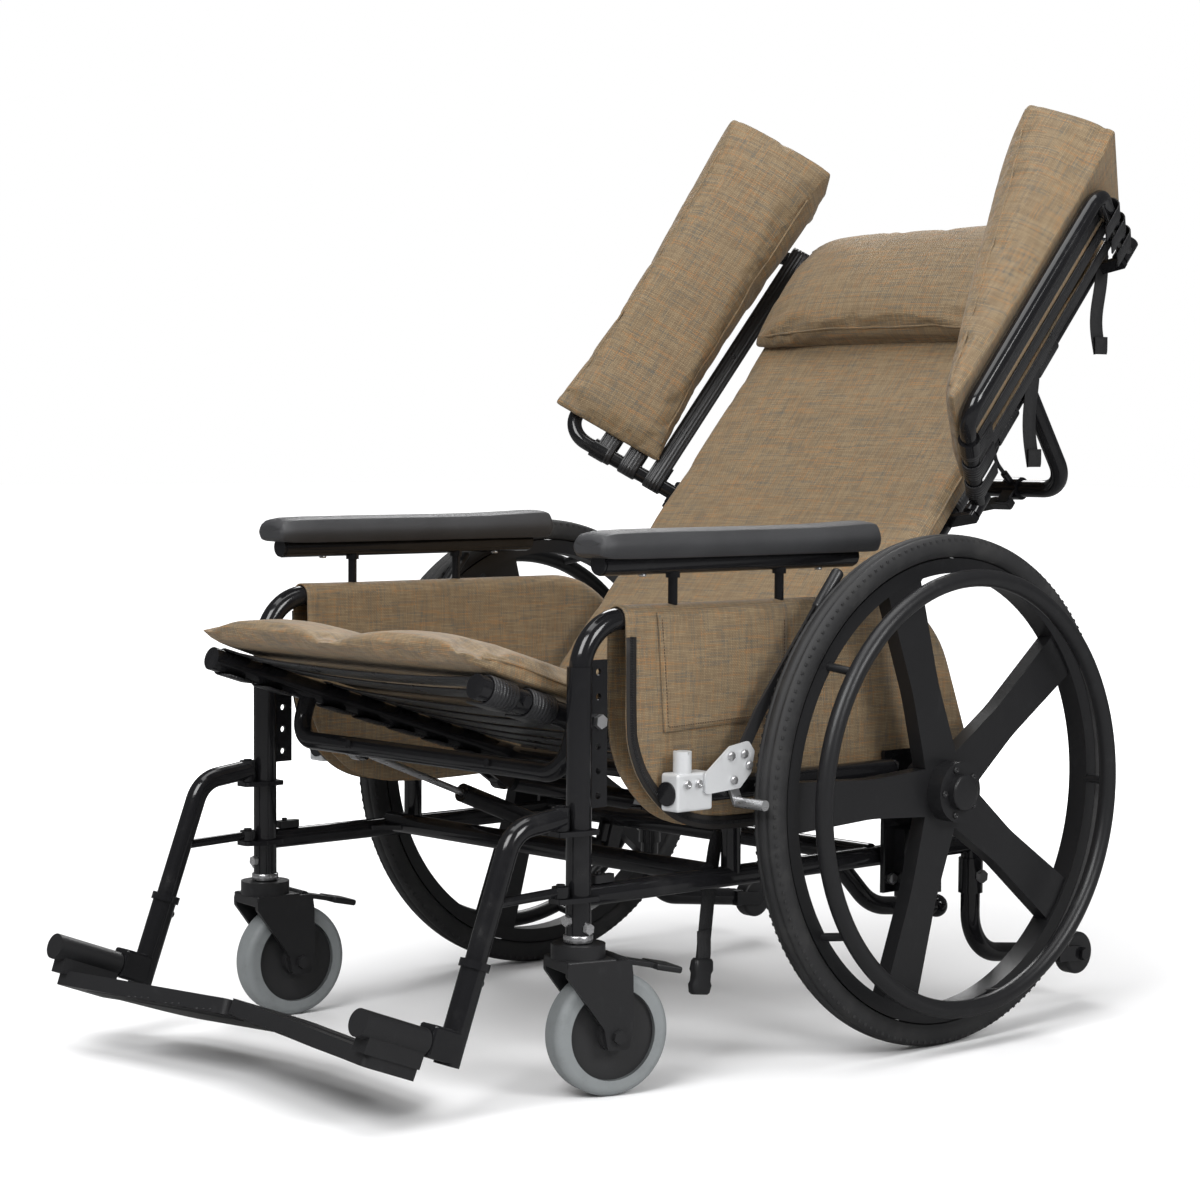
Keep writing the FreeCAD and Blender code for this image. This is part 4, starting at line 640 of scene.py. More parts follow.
def lay_weave(made, place):
    """UV map in metres on a piece, boxed onto it along its own frame's axes."""
    layer = made.data.uv_layers.new(name="Weave")
    back = place.inverted()
    turn = back.to_3x3()
    local = [back @ vertex.co for vertex in made.data.vertices]
    for polygon in made.data.polygons:
        facing = turn @ polygon.normal
        size = [abs(value) for value in facing]
        axis = size.index(max(size))
        for loop in polygon.loop_indices:
            point = local[made.data.loops[loop].vertex_index]
            pair = ((point.y, point.z), (point.x, point.z), (point.x, point.y))[axis]
            layer.data[loop].uv = pair
    return made


def pad_ring(at, across, low, high, crown, draw, rolls=1, side_steps=6, roll_steps=10):
    """Points round a pad's section: flat underside, drawn-in sides and a top of crowned rolls."""
    left, right = across
    inner_left = left + draw
    inner_right = right - draw
    ring = []
    for i in range(side_steps):
        share = i / side_steps
        ring.append(at(inner_right + draw * math.sin(math.pi * share), low + (high - low) * share))
    step = (inner_right - inner_left) / rolls
    for roll in range(rolls):
        for i in range(roll_steps):
            share = i / roll_steps
            rise = crown * (1 - abs(2 * share - 1) ** 2.6)
            ring.append(at(inner_right - (roll + share) * step, high + rise))
    for i in range(side_steps):
        share = i / side_steps
        ring.append(at(inner_left - draw * math.sin(math.pi * share), high + (low - high) * share))
    floor_steps = rolls * roll_steps
    for i in range(floor_steps):
        ring.append(at(inner_left + (inner_right - inner_left) * i / floor_steps, low))
    return ring


# Voxel size, pressure and most travel of each filled cover
COVERS = {"seat": (0.0048, 3.0, 0.006), "back": (0.0064, 2.0, 0.004), "pillow": (0.0045, 4.0, 0.007),
          "wing": (0.0042, 3.0, 0.006)}
HELD_REACH = 0.004
PIPING_R = 0.0016
THIN_PIPING_R = 0.0015


def pad_piece(name, rings, place, material, held, cover):
    """Padded piece through its sections, filled like a cushion and placed."""
    voxel, pressure, cap = COVERS[cover]
    points, faces = skin(rings)
    made = tidy_normals(piece_from(name, points, faces, material))
    remesh(made, voxel)
    swell(made, held, pressure, cap)
    refine(made)
    made.data.transform(place)
    if place.determinant() < 0:
        made.data.flip_normals()
    made.data.materials.clear()
    made.data.materials.append(material)
    made.data.shade_smooth()
    return lay_weave(made, place)


def band_mesh(name, path, width, thickness, material, across=None, normal=None):
    """Flat strap along a path, its width held along one direction or its face towards another."""
    rings = []
    lengths = [0.0]
    for before, after in zip(path, path[1:]):
        lengths.append(lengths[-1] + (after - before).length)
    for i, point in enumerate(path):
        ahead = (path[min(i + 1, len(path) - 1)] - path[max(i - 1, 0)]).normalized()
        if across is not None:
            side = across.normalized()
            up = side.cross(ahead).normalized()
        else:
            side = ahead.cross(normal).normalized()
            up = side.cross(ahead).normalized()
        half = width / 2
        edge = thickness / 2
        corners = [(half - edge, edge), (0, edge), (-half + edge, edge), (-half, 0), (-half + edge, -edge),
                   (0, -edge), (half - edge, -edge), (half, 0)]
        rings.append([point + side * a + up * b for a, b in corners])
    points, faces = skin(rings)
    made = piece_from(name, points, faces, material)
    tidy_normals(made)
    layer = made.data.uv_layers.new(name="Weave")
    across_at = [half - edge, 0, -half + edge, -half, -half + edge, 0, half - edge, half]
    count = len(across_at)
    for loop in made.data.loops:
        index = loop.vertex_index
        layer.data[loop.index].uv = (across_at[index % count], lengths[min(index // count, len(lengths) - 1)])
    return made


def cord_mesh(name, path, radius, material, sides=8):
    """Round cord along a path."""
    rings = []
    side = None
    for i, point in enumerate(path):
        ahead = (path[min(i + 1, len(path) - 1)] - path[max(i - 1, 0)]).normalized()
        if side is None:
            side = ahead.orthogonal().normalized()
        side = (side - ahead * side.dot(ahead)).normalized()
        up = ahead.cross(side)
        turns = [math.tau * j / sides for j in range(sides)]
        rings.append([point + (side * math.cos(turn) + up * math.sin(turn)) * radius for turn in turns])
    points, faces = skin(rings)
    return tidy_normals(piece_from(name, points, faces, material))


def joined(name, parts):
    """One mesh object out of several."""
    for part in bpy.context.selected_objects:
        part.select_set(False)
    for part in parts:
        part.select_set(True)
    bpy.context.view_layer.objects.active = parts[0]
    bpy.ops.object.join()
    parts[0].name = name
    return parts[0]


def arc(centre, first, second, start, end, steps):
    """Points of an arc round a centre, from angles in the plane of two unit vectors."""
    turns = [start + (end - start) * i / steps for i in range(steps + 1)]
    return [centre + first * math.cos(turn) + second * math.sin(turn) for turn in turns]


def smooth_path(points, steps=6):
    """Even curve through points."""
    ends = [points[0] * 2 - points[1], *points, points[-1] * 2 - points[-2]]
    path = []
    for i in range(1, len(ends) - 2):
        a, b, c, d = ends[i - 1:i + 3]
        for j in range(steps):
            t = j / steps
            path.append(0.5 * (2 * b + (c - a) * t + (2 * a - 5 * b + 4 * c - d) * t ** 2
                               + (3 * b - a - 3 * c + d) * t ** 3))
    path.append(points[-1])
    return path


# What repeats, as geometry nodes

def new_tree(name, sizes):
    """Geometry node group with a mesh in and out and named sizes."""
    tree = bpy.data.node_groups.new(name, "GeometryNodeTree")
    tree.interface.new_socket(name="Geometry", in_out="INPUT", socket_type="NodeSocketGeometry")
    for label, kind in sizes:
        tree.interface.new_socket(name=label, in_out="INPUT", socket_type=kind)
    tree.interface.new_socket(name="Geometry", in_out="OUTPUT", socket_type="NodeSocketGeometry")
    return tree, tree.nodes.new("NodeGroupInput"), tree.nodes.new("NodeGroupOutput")


def end_tree(tree, instances, given, result):
    """Realizes a tree's instances and gives them their material."""
    real = tree.nodes.new("GeometryNodeRealizeInstances")
    coat = tree.nodes.new("GeometryNodeSetMaterial")
    tree.links.new(instances, real.inputs[0])
    tree.links.new(real.outputs[0], coat.inputs["Geometry"])
    tree.links.new(given.outputs["Material"], coat.inputs["Material"])
    tree.links.new(coat.outputs[0], result.inputs[0])
    return tree


def row_tree():
    """Copies of a pattern object at even steps along a mesh path, turned to follow it and one direction."""
    sizes = (("Step", "NodeSocketFloat"), ("Pattern", "NodeSocketObject"), ("Face", "NodeSocketVector"),
             ("Material", "NodeSocketMaterial"))
    tree, given, result = new_tree("set_in_a_row", sizes)
    curve = tree.nodes.new("GeometryNodeMeshToCurve")
    even = tree.nodes.new("GeometryNodeResampleCurve")
    even.mode = "LENGTH"
    tangent = tree.nodes.new("GeometryNodeInputTangent")
    along = tree.nodes.new("FunctionNodeAlignRotationToVector")
    along.axis = "Z"
    facing = tree.nodes.new("FunctionNodeAlignRotationToVector")
    facing.axis = "X"
    facing.pivot_axis = "Z"
    pattern = tree.nodes.new("GeometryNodeObjectInfo")
    instance = tree.nodes.new("GeometryNodeInstanceOnPoints")
    tree.links.new(given.outputs["Geometry"], curve.inputs[0])
    tree.links.new(curve.outputs[0], even.inputs["Curve"])
    tree.links.new(given.outputs["Step"], even.inputs["Length"])
    tree.links.new(tangent.outputs[0], along.inputs["Vector"])
    tree.links.new(along.outputs[0], facing.inputs["Rotation"])
    tree.links.new(given.outputs["Face"], facing.inputs["Vector"])
    tree.links.new(given.outputs["Pattern"], pattern.inputs["Object"])
    tree.links.new(even.outputs[0], instance.inputs["Points"])
    tree.links.new(pattern.outputs["Geometry"], instance.inputs["Instance"])
    tree.links.new(facing.outputs[0], instance.inputs["Rotation"])
    return end_tree(tree, instance.outputs[0], given, result)


TREES = {}


def in_a_row(name, path, step, pattern, face, material):
    """Pattern repeated along a path: stitches, teeth, tread blocks or ribs."""
    if "row" not in TREES:
        TREES["row"] = row_tree()
    tree = TREES["row"]
    mesh = bpy.data.meshes.new(name)
    mesh.from_pydata([tuple(point) for point in path], [(i, i + 1) for i in range(len(path) - 1)], [])
    made = bpy.data.objects.new(name, mesh)
    bpy.context.scene.collection.objects.link(made)
    modifier = made.modifiers.new("Row", "NODES")
    modifier.node_group = tree
    sockets = {item.name: item.identifier for item in tree.interface.items_tree if item.in_out == "INPUT"}
    modifier[sockets["Step"]] = step
    modifier[sockets["Pattern"]] = pattern
    modifier[sockets["Face"]] = tuple(face)
    modifier[sockets["Material"]] = material
    settle(made)
    bpy.data.objects.remove(pattern)
    return made


def stitch(length, radius):
    """One stitch: a short spindle along Z."""
    rings = []
    for share, wide in ((-0.5, 0.3), (-0.3, 1.0), (0.3, 1.0), (0.5, 0.3)):
        turns = [math.tau * j / 6 for j in range(6)]
        rings.append([Vector((math.cos(a) * radius * wide, math.sin(a) * radius * wide, share * length))
                      for a in turns])
    points, faces = skin(rings)
    return tidy_normals(piece_from("pattern_stitch", points, faces, finish("thread")))


def bar(deep, wide, long, taper=0.7):
    """One block along Z, rising along X, narrower at its top."""
    rings = []
    for height, share in ((0, 1.0), (deep * 0.7, 1.0), (deep, taper)):
        w = wide / 2 * share
        l = long / 2 * share
        rings.append([Vector((height, -w, -l)), Vector((height, w, -l)), Vector((height, w, l)),
                      Vector((height, -w, l))])
    points, faces = skin(rings)
    return tidy_normals(piece_from("pattern_bar", points, faces, finish("plastic"), smooth=False))


def seam(name, path, step, radius=0.0005, face=X_AXIS):
    """Row of stitches along a path."""
    return in_a_row(name, path, step, stitch(step * 0.72, radius), face, finish("thread"))


# Shares of a head's radius and height, from its rim to its middle
HEAD_RIM = ((1.0, 0.0), (1.0, 0.55), (0.9, 0.85), (0.72, 1.0))
HEAD_SOCKET = ((0.46, 1.0), (0.40, 0.4), (0.02, 0.35))
HEAD_DOME = ((0.35, 1.12), (0.02, 1.16))
HEAD_SIDES = 18


def screw_head(name, centre, way, radius, high, material, socket=True):
    """Domed screw or rivet head on a face, with a hexagon socket in it."""
    up = way.normalized()
    side = up.orthogonal().normalized()
    other = up.cross(side)
    rings = []
    for wide, share in HEAD_RIM + (HEAD_SOCKET if socket else HEAD_DOME):
        rise = high * share
        ring = []
        for j in range(HEAD_SIDES):
            turn = math.tau * j / HEAD_SIDES
            flat = 1.0
            if socket and wide <= HEAD_SOCKET[0][0]:
                flat = math.cos(math.pi / 6) / math.cos((turn % (math.pi / 3)) - math.pi / 6)
            reach = (side * math.cos(turn) + other * math.sin(turn)) * radius * wide * flat
            ring.append(centre + reach + up * rise)
        rings.append(ring)
    points, faces = skin(rings)
    return tidy_normals(piece_from(name, points, faces, material))


# Padded pieces

CHANNEL = 0.005
FRONT_BOW = 0.011
FRONT_RISE = 0.00495
FRONT_FADE = 0.10
FRONT_PINCH = 0.62
PINCH_MIDDLE = 0.011
CHANNEL_STITCH = 0.005
CHANNEL_THREAD_R = 0.0006
PROBE = 0.05


def front_wave(size, a, y, b):
    """Point of the seat cushion: two lobes at its front, bowed in their middles, pinched between them."""
    fade = max(0.0, 1 - (y - size.front) / FRONT_FADE) ** 2
    roll = abs(math.sin(math.pi * a / size.half))
    middle = size.base + PINCH_MIDDLE
    high = middle + (b - middle) * (1 - FRONT_PINCH * (1 - roll) ** 2 * fade)
    return Vector((a, y + FRONT_BOW * roll * fade, high + FRONT_RISE * (roll - 0.5) * fade))


def make_seat_cushion(context):
    """Seat cushion: two rolls with a channel between them and a thin, wavy front edge."""
    size = context.scene.chair_seat
    base = size.base
    top = size.side
    # Place along the cushion, inset of the sides, underside, top, crown and draw of the sides
    stations = [
        (size.front, 0.016, base + 0.009, base + 0.013, 0.001, 0.002),
        (size.front + 0.005, 0.009, base + 0.006, base + 0.016, 0.003, 0.003),
        (size.front + 0.020, 0.004, base + 0.002, top - 0.009, 0.005, 0.006),
        (size.front + 0.045, 0.002, base, top - 0.003, 0.007, 0.008),
        (size.front + 0.085, 0.001, base, top, size.crown, 0.009),
        (size.front + 0.250, 0.003, base, top, size.crown, 0.009),
        (size.rear - 0.040, 0.001, base, top, size.crown, 0.009),
        (size.rear - 0.012, 0.003, base + 0.001, top - 0.003, 0.006, 0.008),
        (size.rear, 0.010, base + 0.005, top - 0.009, 0.003, 0.005),
    ]
    rings = []
    for y, inset, low, high, crown, draw in stations:
        across = (-size.half + inset, size.half - inset)
        rings.append(pad_ring(lambda a, b, y=y: front_wave(size, a, y, b), across, low, high - CHANNEL,
                              crown + CHANNEL, draw, 2))

    def held(point):
        return 1.0 if point.z < base + HELD_REACH or abs(point.x) < HELD_REACH else 0.0

    made = pad_piece("seat_cushion_cover", rings, SEAT, finish("cloth"), held, "seat")
    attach(made, "seat")
    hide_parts("seat_cushion")
    tree = BVHTree.FromObject(made, context.evaluated_depsgraph_get())
    for side, word in SIDES.items():
        edge = [SEAT @ Vector((side * (size.half - 0.001), y, (base + top) / 2 + 0.006))
                for y in [size.front + 0.03 + i * 0.01 for i in range(43)]]
        path = smooth_path([tree.find_nearest(point)[0] for point in edge[::3]], 4)
        piping = cord_mesh("seat_piping_" + word, path, PIPING_R, finish("cloth"))
        lay_weave(piping, SEAT)
        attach(piping, "seat")
    rows = [SEAT @ Vector((0, size.front + 0.012 + i * 0.02, top + 0.004)) for i in range(23)]
    down = SEAT.to_3x3() @ -Z_AXIS
    path = [tree.ray_cast(point - down * PROBE, down)[0] or point for point in rows]
    stitched = seam("seat_channel_stitches", path, CHANNEL_STITCH, CHANNEL_THREAD_R)
    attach(stitched, "seat")


CROWN_ROOM = 0.005


def make_back_cushion(context):
    """Back cushion: one broad crown with drawn-in sides."""
    size = context.scene.chair_back
    half = context.scene.chair_seat.half
    rear = size.rear
    thick = rear - CROWN_ROOM
    # Place up the back, inset of the sides, underside, top, crown and draw of the sides
    stations = [
        (size.low, 0.012, 0.007, thick - 0.007, 0.0015, 0.004),
        (size.low + 0.007, 0.004, 0.002, thick - 0.003, 0.003, 0.008),
        (size.low + 0.024, 0.001, 0, thick, 0.004, 0.009),
        (size.low + 0.090, 0.001, 0, thick, 0.005, 0.009),
        ((size.low + size.high) / 2, 0.003, 0, thick, 0.005, 0.009),
        (size.high - 0.090, 0.001, 0, thick, 0.005, 0.009),
        (size.high - 0.024, 0.001, 0, thick, 0.004, 0.009),
        (size.high - 0.007, 0.004, 0.002, thick - 0.003, 0.003, 0.008),
        (size.high, 0.012, 0.007, thick - 0.007, 0.0015, 0.004),
    ]
    rings = []
    for t, inset, low, high, crown, draw in stations:
        across = (-half + inset, half - inset)
        rings.append(pad_ring(lambda a, b, t=t: Vector((a, rear - b, t)), across, low, high, crown, draw,
                              roll_steps=24))

    def held(point):
        return 1.0 if point.y > rear - HELD_REACH else 0.0

    made = pad_piece("back_cushion_cover", rings, BACK, finish("cloth"), held, "back")
    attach(made, "back")
    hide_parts("back_cushion")
    tree = BVHTree.FromObject(made, context.evaluated_depsgraph_get())
    for side, word in SIDES.items():
        edge = [BACK @ Vector((side * (half - 0.001), 0.010, 0.04 + i * 0.045)) for i in range(17)]
        path = smooth_path([tree.find_nearest(point)[0] for point in edge], 5)
        piping = cord_mesh("back_piping_" + word, path, PIPING_R, finish("cloth"))
        lay_weave(piping, BACK)
        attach(piping, "back")


PILLOW_GAP = 0.0012
PILLOW_HELD = 0.005
# Place from the middle to an end, and the shares of the height and of the depth there
PILLOW_STATIONS = ((0.2, 1.0, 1.0), (0.5, 1.0, 0.93), (0.76, 0.99, 0.76), (0.90, 0.96, 0.54),
                   (0.97, 0.93, 0.34), (1.0, 0.90, 0.20))
PILLOW_SEAM_DEPTH = 0.036


def make_head_pillow(context):
    """Head pillow: full middle, drawn-in ends and a boxed lower edge."""
    size = context.scene.chair_back
    middle = (size.pillow_low + size.pillow_high) / 2
    half = (size.pillow_high - size.pillow_low) / 2
    mirrored = [(-place, tall, deep) for place, tall, deep in reversed(PILLOW_STATIONS)]
    rings = []
    for place, tall, deep in (*mirrored, *PILLOW_STATIONS):
        x = place * size.pillow_half
        thick = size.pillow_deep * deep
        across = (middle - half * tall, middle + half * tall)
        draw = min(thick * 0.34, 0.012)
        rings.append(pad_ring(lambda a, b, x=x: Vector((x, -PILLOW_GAP - b, a)), across, 0, thick * 0.72,
                              thick * 0.28, draw))

    def held(point):
        return 1.0 if point.y > -PILLOW_HELD else 0.0

    made = pad_piece("head_pillow_cover", rings, BACK, finish("cloth"), held, "pillow")
    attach(made, "back")
    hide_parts("head_pillow")
    tree = BVHTree.FromObject(made, context.evaluated_depsgraph_get())
    for word, height in (("lower", size.pillow_low + 0.004), ("upper", size.pillow_high - 0.004)):
        spots = []
        for i in range(19):
            x = (i / 9 - 1) * (size.pillow_half - 0.012)
            fade = 1 - 0.75 * (abs(x) / size.pillow_half) ** 4
            aim = middle + (height - middle) * (0.75 + 0.25 * fade)
            spots.append(tree.find_nearest(BACK @ Vector((x, -PILLOW_SEAM_DEPTH * fade, aim)))[0])
        piping = cord_mesh("pillow_piping_" + word, smooth_path(spots, 5), THIN_PIPING_R, finish("cloth"))
        lay_weave(piping, BACK)
        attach(piping, "back")


WING_HELD = 0.003
WING_LOW = {1: 0.394, -1: 0.414}
WING_STRETCH = {1: 1.0, -1: 1.034}
# Share of the length, inset of the sides, share of the depth, and draw of the sides
WING_STATIONS = ((-0.015, -0.003, 0.060, 0.002), (0.015, -0.001, 0.10, 0.003), (0.06, 0.001, 0.17, 0.005),
                 (0.18, 0.003, 0.28, 0.008), (0.3, 0.003, 0.39, 0.010), (0.46, 0.003, 0.55, 0.011),
                 (0.62, 0.002, 0.69, 0.012), (0.8, 0.001, 0.85, 0.012), (0.92, 0, 0.95, 0.010),
                 (1.0, -0.001, 0.99, 0.006), (1.045, -0.003, 1.0, 0.003), (1.056, -0.001, 0.97, 0.002))


def make_wings(context):
    """Wing bolsters: wedges that are thin at their lower ends and deep at their upper ends."""
    size = context.scene.chair_wing
    for side, word in SIDES.items():
        place = wing_frame(side)
        rings = []
        for share, inset, deep, draw in WING_STATIONS:
            t = WING_LOW[side] + share * size.long * WING_STRETCH[side]
            thick = size.deep * deep
            across = (-size.far + inset, -size.near - inset)
            back = size.face
            rings.append(pad_ring(lambda a, b, t=t: Vector((-b, a, t)), across, back, back + thick * 0.93,
                                  thick * 0.07, min(draw, thick * 0.3)))

        def held(point, back=size.face):
            return 1.0 if point.x > -back - WING_HELD else 0.0

        name = "wing_bolster_" + word
        made = pad_piece(name, rings, place, finish("cloth"), held, "wing")
        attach(made, "wing_" + word)
        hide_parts("wing_pad_" + word)
        tree = BVHTree.FromObject(made, context.evaluated_depsgraph_get())
        for label, edge in (("near", -size.near - 0.004), ("far", -size.far + 0.004)):
            spots = []
            for i in range(15):
                share = 0.03 + 0.94 * i / 14
                deep = size.face + size.deep * (0.12 + 0.84 * share) * 0.93
                spot = Vector((-deep, edge, WING_LOW[side] + share * size.long))
                spots.append(tree.find_nearest(place @ spot)[0])
            name = "wing_piping_%s_%s" % (label, word)
            piping = cord_mesh(name, smooth_path(spots, 5), THIN_PIPING_R, finish("cloth"))
            lay_weave(piping, place)
            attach(piping, "wing_" + word)


ARM_CROWN = 0.003
ARM_TUBE_DROP = 0.0165
ARM_SCREW_IN = 0.075


def make_arm_pads(context):
    """Armrest pads: dark moulded skin with soft edges and a parting line."""
    size = context.scene.chair_arm
    x0 = (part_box("arm_frame_left")[0].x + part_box("arm_frame_left")[1].x) / 2
    # Place along the pad, inset of the sides, drop of the top, and draw of the sides
    stations = [(size.front, 0.009, 0.010, 0.004), (size.front + 0.003, 0.004, 0.006, 0.005),
                (size.front + 0.010, 0.001, 0.002, 0.006), (size.front + 0.022, 0, 0, 0.006),
                ((size.front + size.rear) / 2, 0, 0, 0.006), (size.rear - 0.090, 0, 0, 0.006),
                (size.rear - 0.018, 0, -0.004, 0.006), (size.rear - 0.006, 0.001, -0.002, 0.006),
                (size.rear, 0.006, 0.003, 0.004)]
    for side, word in SIDES.items():
        rings = []
        for y, inset, drop, draw in stations:
            across = (-size.half + inset, size.half - inset)
            low = size.low + max(drop, 0) * 0.6
            rings.append(pad_ring(lambda a, b, y=y: post(side * (x0 + a), y, b), across, low,
                                  size.top - drop - ARM_CROWN, ARM_CROWN, draw))
        points, faces = skin(rings)
        made = tidy_normals(piece_from("arm_pad_skin_" + word, points, faces, finish("armrest")))
        bevel = made.modifiers.new("Ends", "BEVEL")
        bevel.width = 0.0015
        bevel.segments = 2
        settle(made)
        refine(made)
        made.data.shade_smooth()
        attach(made, "arm_" + word)
        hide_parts("arm_pad_" + word)
        for y in (size.front + ARM_SCREW_IN, size.rear - ARM_SCREW_IN):
            name = "arm_screw_%s_%d" % (word, round(y * 1000))
            spot = post(side * x0, y, size.low - ARM_TUBE_DROP)
            head = screw_head(name, spot, -Z_AXIS, 0.0042, 0.0025, finish("steel"))
            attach(head, "arm_" + word)


# Straps

STRAP_T = 0.0024
WING_STRAP_T = 0.0022
TAIL_T = 0.0017
BELT_T = 0.0018
STRAP_LIFT = 0.0013
LAP = 0.024
SEAT_STRAP_ROWS = ((-0.101, 2), (0.045, 5))
BACK_STRAP_SPAN = (0.090, 0.630)


def sling_path(half, radius, sag, tail):
    """Strap's middle line across two tubes, in the plane of X and Z."""
    path = [Vector((-half + tail, 0, -radius))]
    path += arc(Vector((-half, 0, 0)), X_AXIS * radius, Z_AXIS * radius, -math.pi / 2, -math.pi * 1.5, 12)
    for i in range(1, 16):
        x = -half + 2 * half * i / 16
        path.append(Vector((x, 0, radius - sag * (1 - (x / half) ** 2) ** 0.7)))
    path += arc(Vector((half, 0, 0)), X_AXIS * radius, Z_AXIS * radius, math.pi / 2, -math.pi / 2, 12)
    path.append(Vector((half - tail, 0, -radius)))
    return path


def make_seat_straps(context):
    """Glossy straps across the seat's side tubes."""
    size = context.scene.chair_seat
    path = sling_path(size.tube_x, size.tube_r + STRAP_LIFT, 0.010, LAP)
    across = SEAT.to_3x3() @ Y_AXIS
    bands = []
    for first, count in SEAT_STRAP_ROWS:
        for i in range(count):
            placed = [SEAT @ (point + Vector((0, first + i * size.pitch, 0))) for point in path]
            bands.append(band_mesh("strap", placed, size.strap_w, STRAP_T, finish("sling"), across=across))
    made = joined("seat_sling_straps", bands)
    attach(made, "seat")
    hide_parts("seat_straps")


def make_back_straps(context):
    """Straps across the back's canes."""
    size = context.scene.chair_back
    path = sling_path(size.cane_x, size.cane_r + STRAP_LIFT, 0.003, LAP)
    turn = Matrix.Rotation(math.pi / 2, 3, "X")
    first, last = BACK_STRAP_SPAN
    step = (last - first) / (size.straps - 1)
    across = BACK.to_3x3() @ Z_AXIS
    bands = []
    for i in range(size.straps):
        place = Vector((0, size.cane_y, first + i * step))
        placed = [BACK @ (turn @ point + place) for point in path]
        bands.append(band_mesh("strap", placed, size.strap_w, STRAP_T, finish("sling"), across=across))
    made = joined("back_sling_straps", bands)
    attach(made, "back")
    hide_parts("back_straps")


HOOP_LOW = 0.389
HOOP_BEND = 0.736
HOOP_HIGH = 0.790
HOOP_REACH = 0.165
HOOP_LAP = 0.034
WING_STRAP_PLACES = (0.034, 0.071, 0.108)


def make_wing_straps(context):
    """Lengthwise straps over the wing hoops' cross tubes, with their laps."""
    size = context.scene.chair_wing
    turn = size.tube_r + STRAP_LIFT
    for side, word in SIDES.items():
        place = wing_frame(side)
        bands = []
        for w in WING_STRAP_PLACES:
            top = HOOP_HIGH - w * (HOOP_HIGH - HOOP_BEND) / HOOP_REACH + 0.004
            path = [Vector((turn, -w, HOOP_LOW + HOOP_LAP))]
            path += arc(Vector((0, -w, HOOP_LOW)), X_AXIS * turn, Z_AXIS * turn, 0, -math.pi, 10)
            path += [Vector((-turn, -w, HOOP_LOW + 0.1)), Vector((-turn, -w, top - 0.1))]
            path += arc(Vector((0, -w, top)), X_AXIS * turn, Z_AXIS * turn, math.pi, 0, 10)
            path.append(Vector((turn, -w, top - HOOP_LAP)))
            placed = [place @ point for point in path]
            bands.append(band_mesh("strap", placed, size.strap_w, WING_STRAP_T, finish("sling"),
                                   across=place.to_3x3() @ Y_AXIS))
        made = joined("wing_sling_straps_" + word, bands)
        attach(made, "wing_" + word)
        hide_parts("wing_straps_" + word)


# Depth and height of each tail: depths at its foot and top, then heights at its top and foot
TAIL_SPANS = ((0.762, 0.764, 0.810, 0.632), (0.885, 0.891, 0.908, 0.768))
TAIL_W = 0.024
TIP_W = 0.0245
TIP_FOLD = ((0.0018, 0, 0.020), (0.0018, 0, 0.004), (0.0009, 0, -0.001))


def make_tails(context):
    """Loose webbing ends beside the left cane, each with its folded tip."""
    low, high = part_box("strap_tails")
    bands = []
    x = (low.x + high.x) / 2
    for y0, y1, z0, z1 in TAIL_SPANS:
        points = []
        for i in range(13):
            share = i / 12
            sway = 0.0022 * math.sin(share * 7.0) * share
            points.append(post(x, y1 + (y0 - y1) * share + sway * 2, z0 + (z1 - z0) * share)
                          + Vector((sway, 0, 0)))
        web = finish("webbing")
        bands.append(band_mesh("tail", smooth_path(points, 3), TAIL_W, TAIL_T, web, normal=X_AXIS))
        fold = [points[-1] + Vector(step) for step in TIP_FOLD]
        bands.append(band_mesh("tip", smooth_path(fold, 3), TIP_W, TAIL_T, web, normal=X_AXIS))
    made = joined("back_strap_tails", bands)
    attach(made, "back")
    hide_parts("strap_tails")


BELT_X = 0.252
BELT_W = 0.020
LOOP_W = 0.0205
BELT_LINE = ((0, 0.214, 0.246), (0, 0.207, 0.232), (-0.001, 0.199, 0.180), (0, 0.190, 0.116))
BELT_LOOP = ((0.002, 0, 0.030), (0.0022, 0, 0.004), (0.001, 0, -0.002))
BUCKLE_SIDES = 24
ANCHOR = (0.009, 0.003)
ANCHOR_DROP = 0.010
# Drop below the belt, half width and half depth
BUCKLE_STAGES = ((0.0, 0.0120, 0.0035), (0.003, 0.0135, 0.0055), (0.012, 0.0142, 0.0062),
                 (0.016, 0.0118, 0.0060), (0.024, 0.0118, 0.0060), (0.028, 0.0142, 0.0060),
                 (0.036, 0.0128, 0.0050), (0.038, 0.0110, 0.0030))


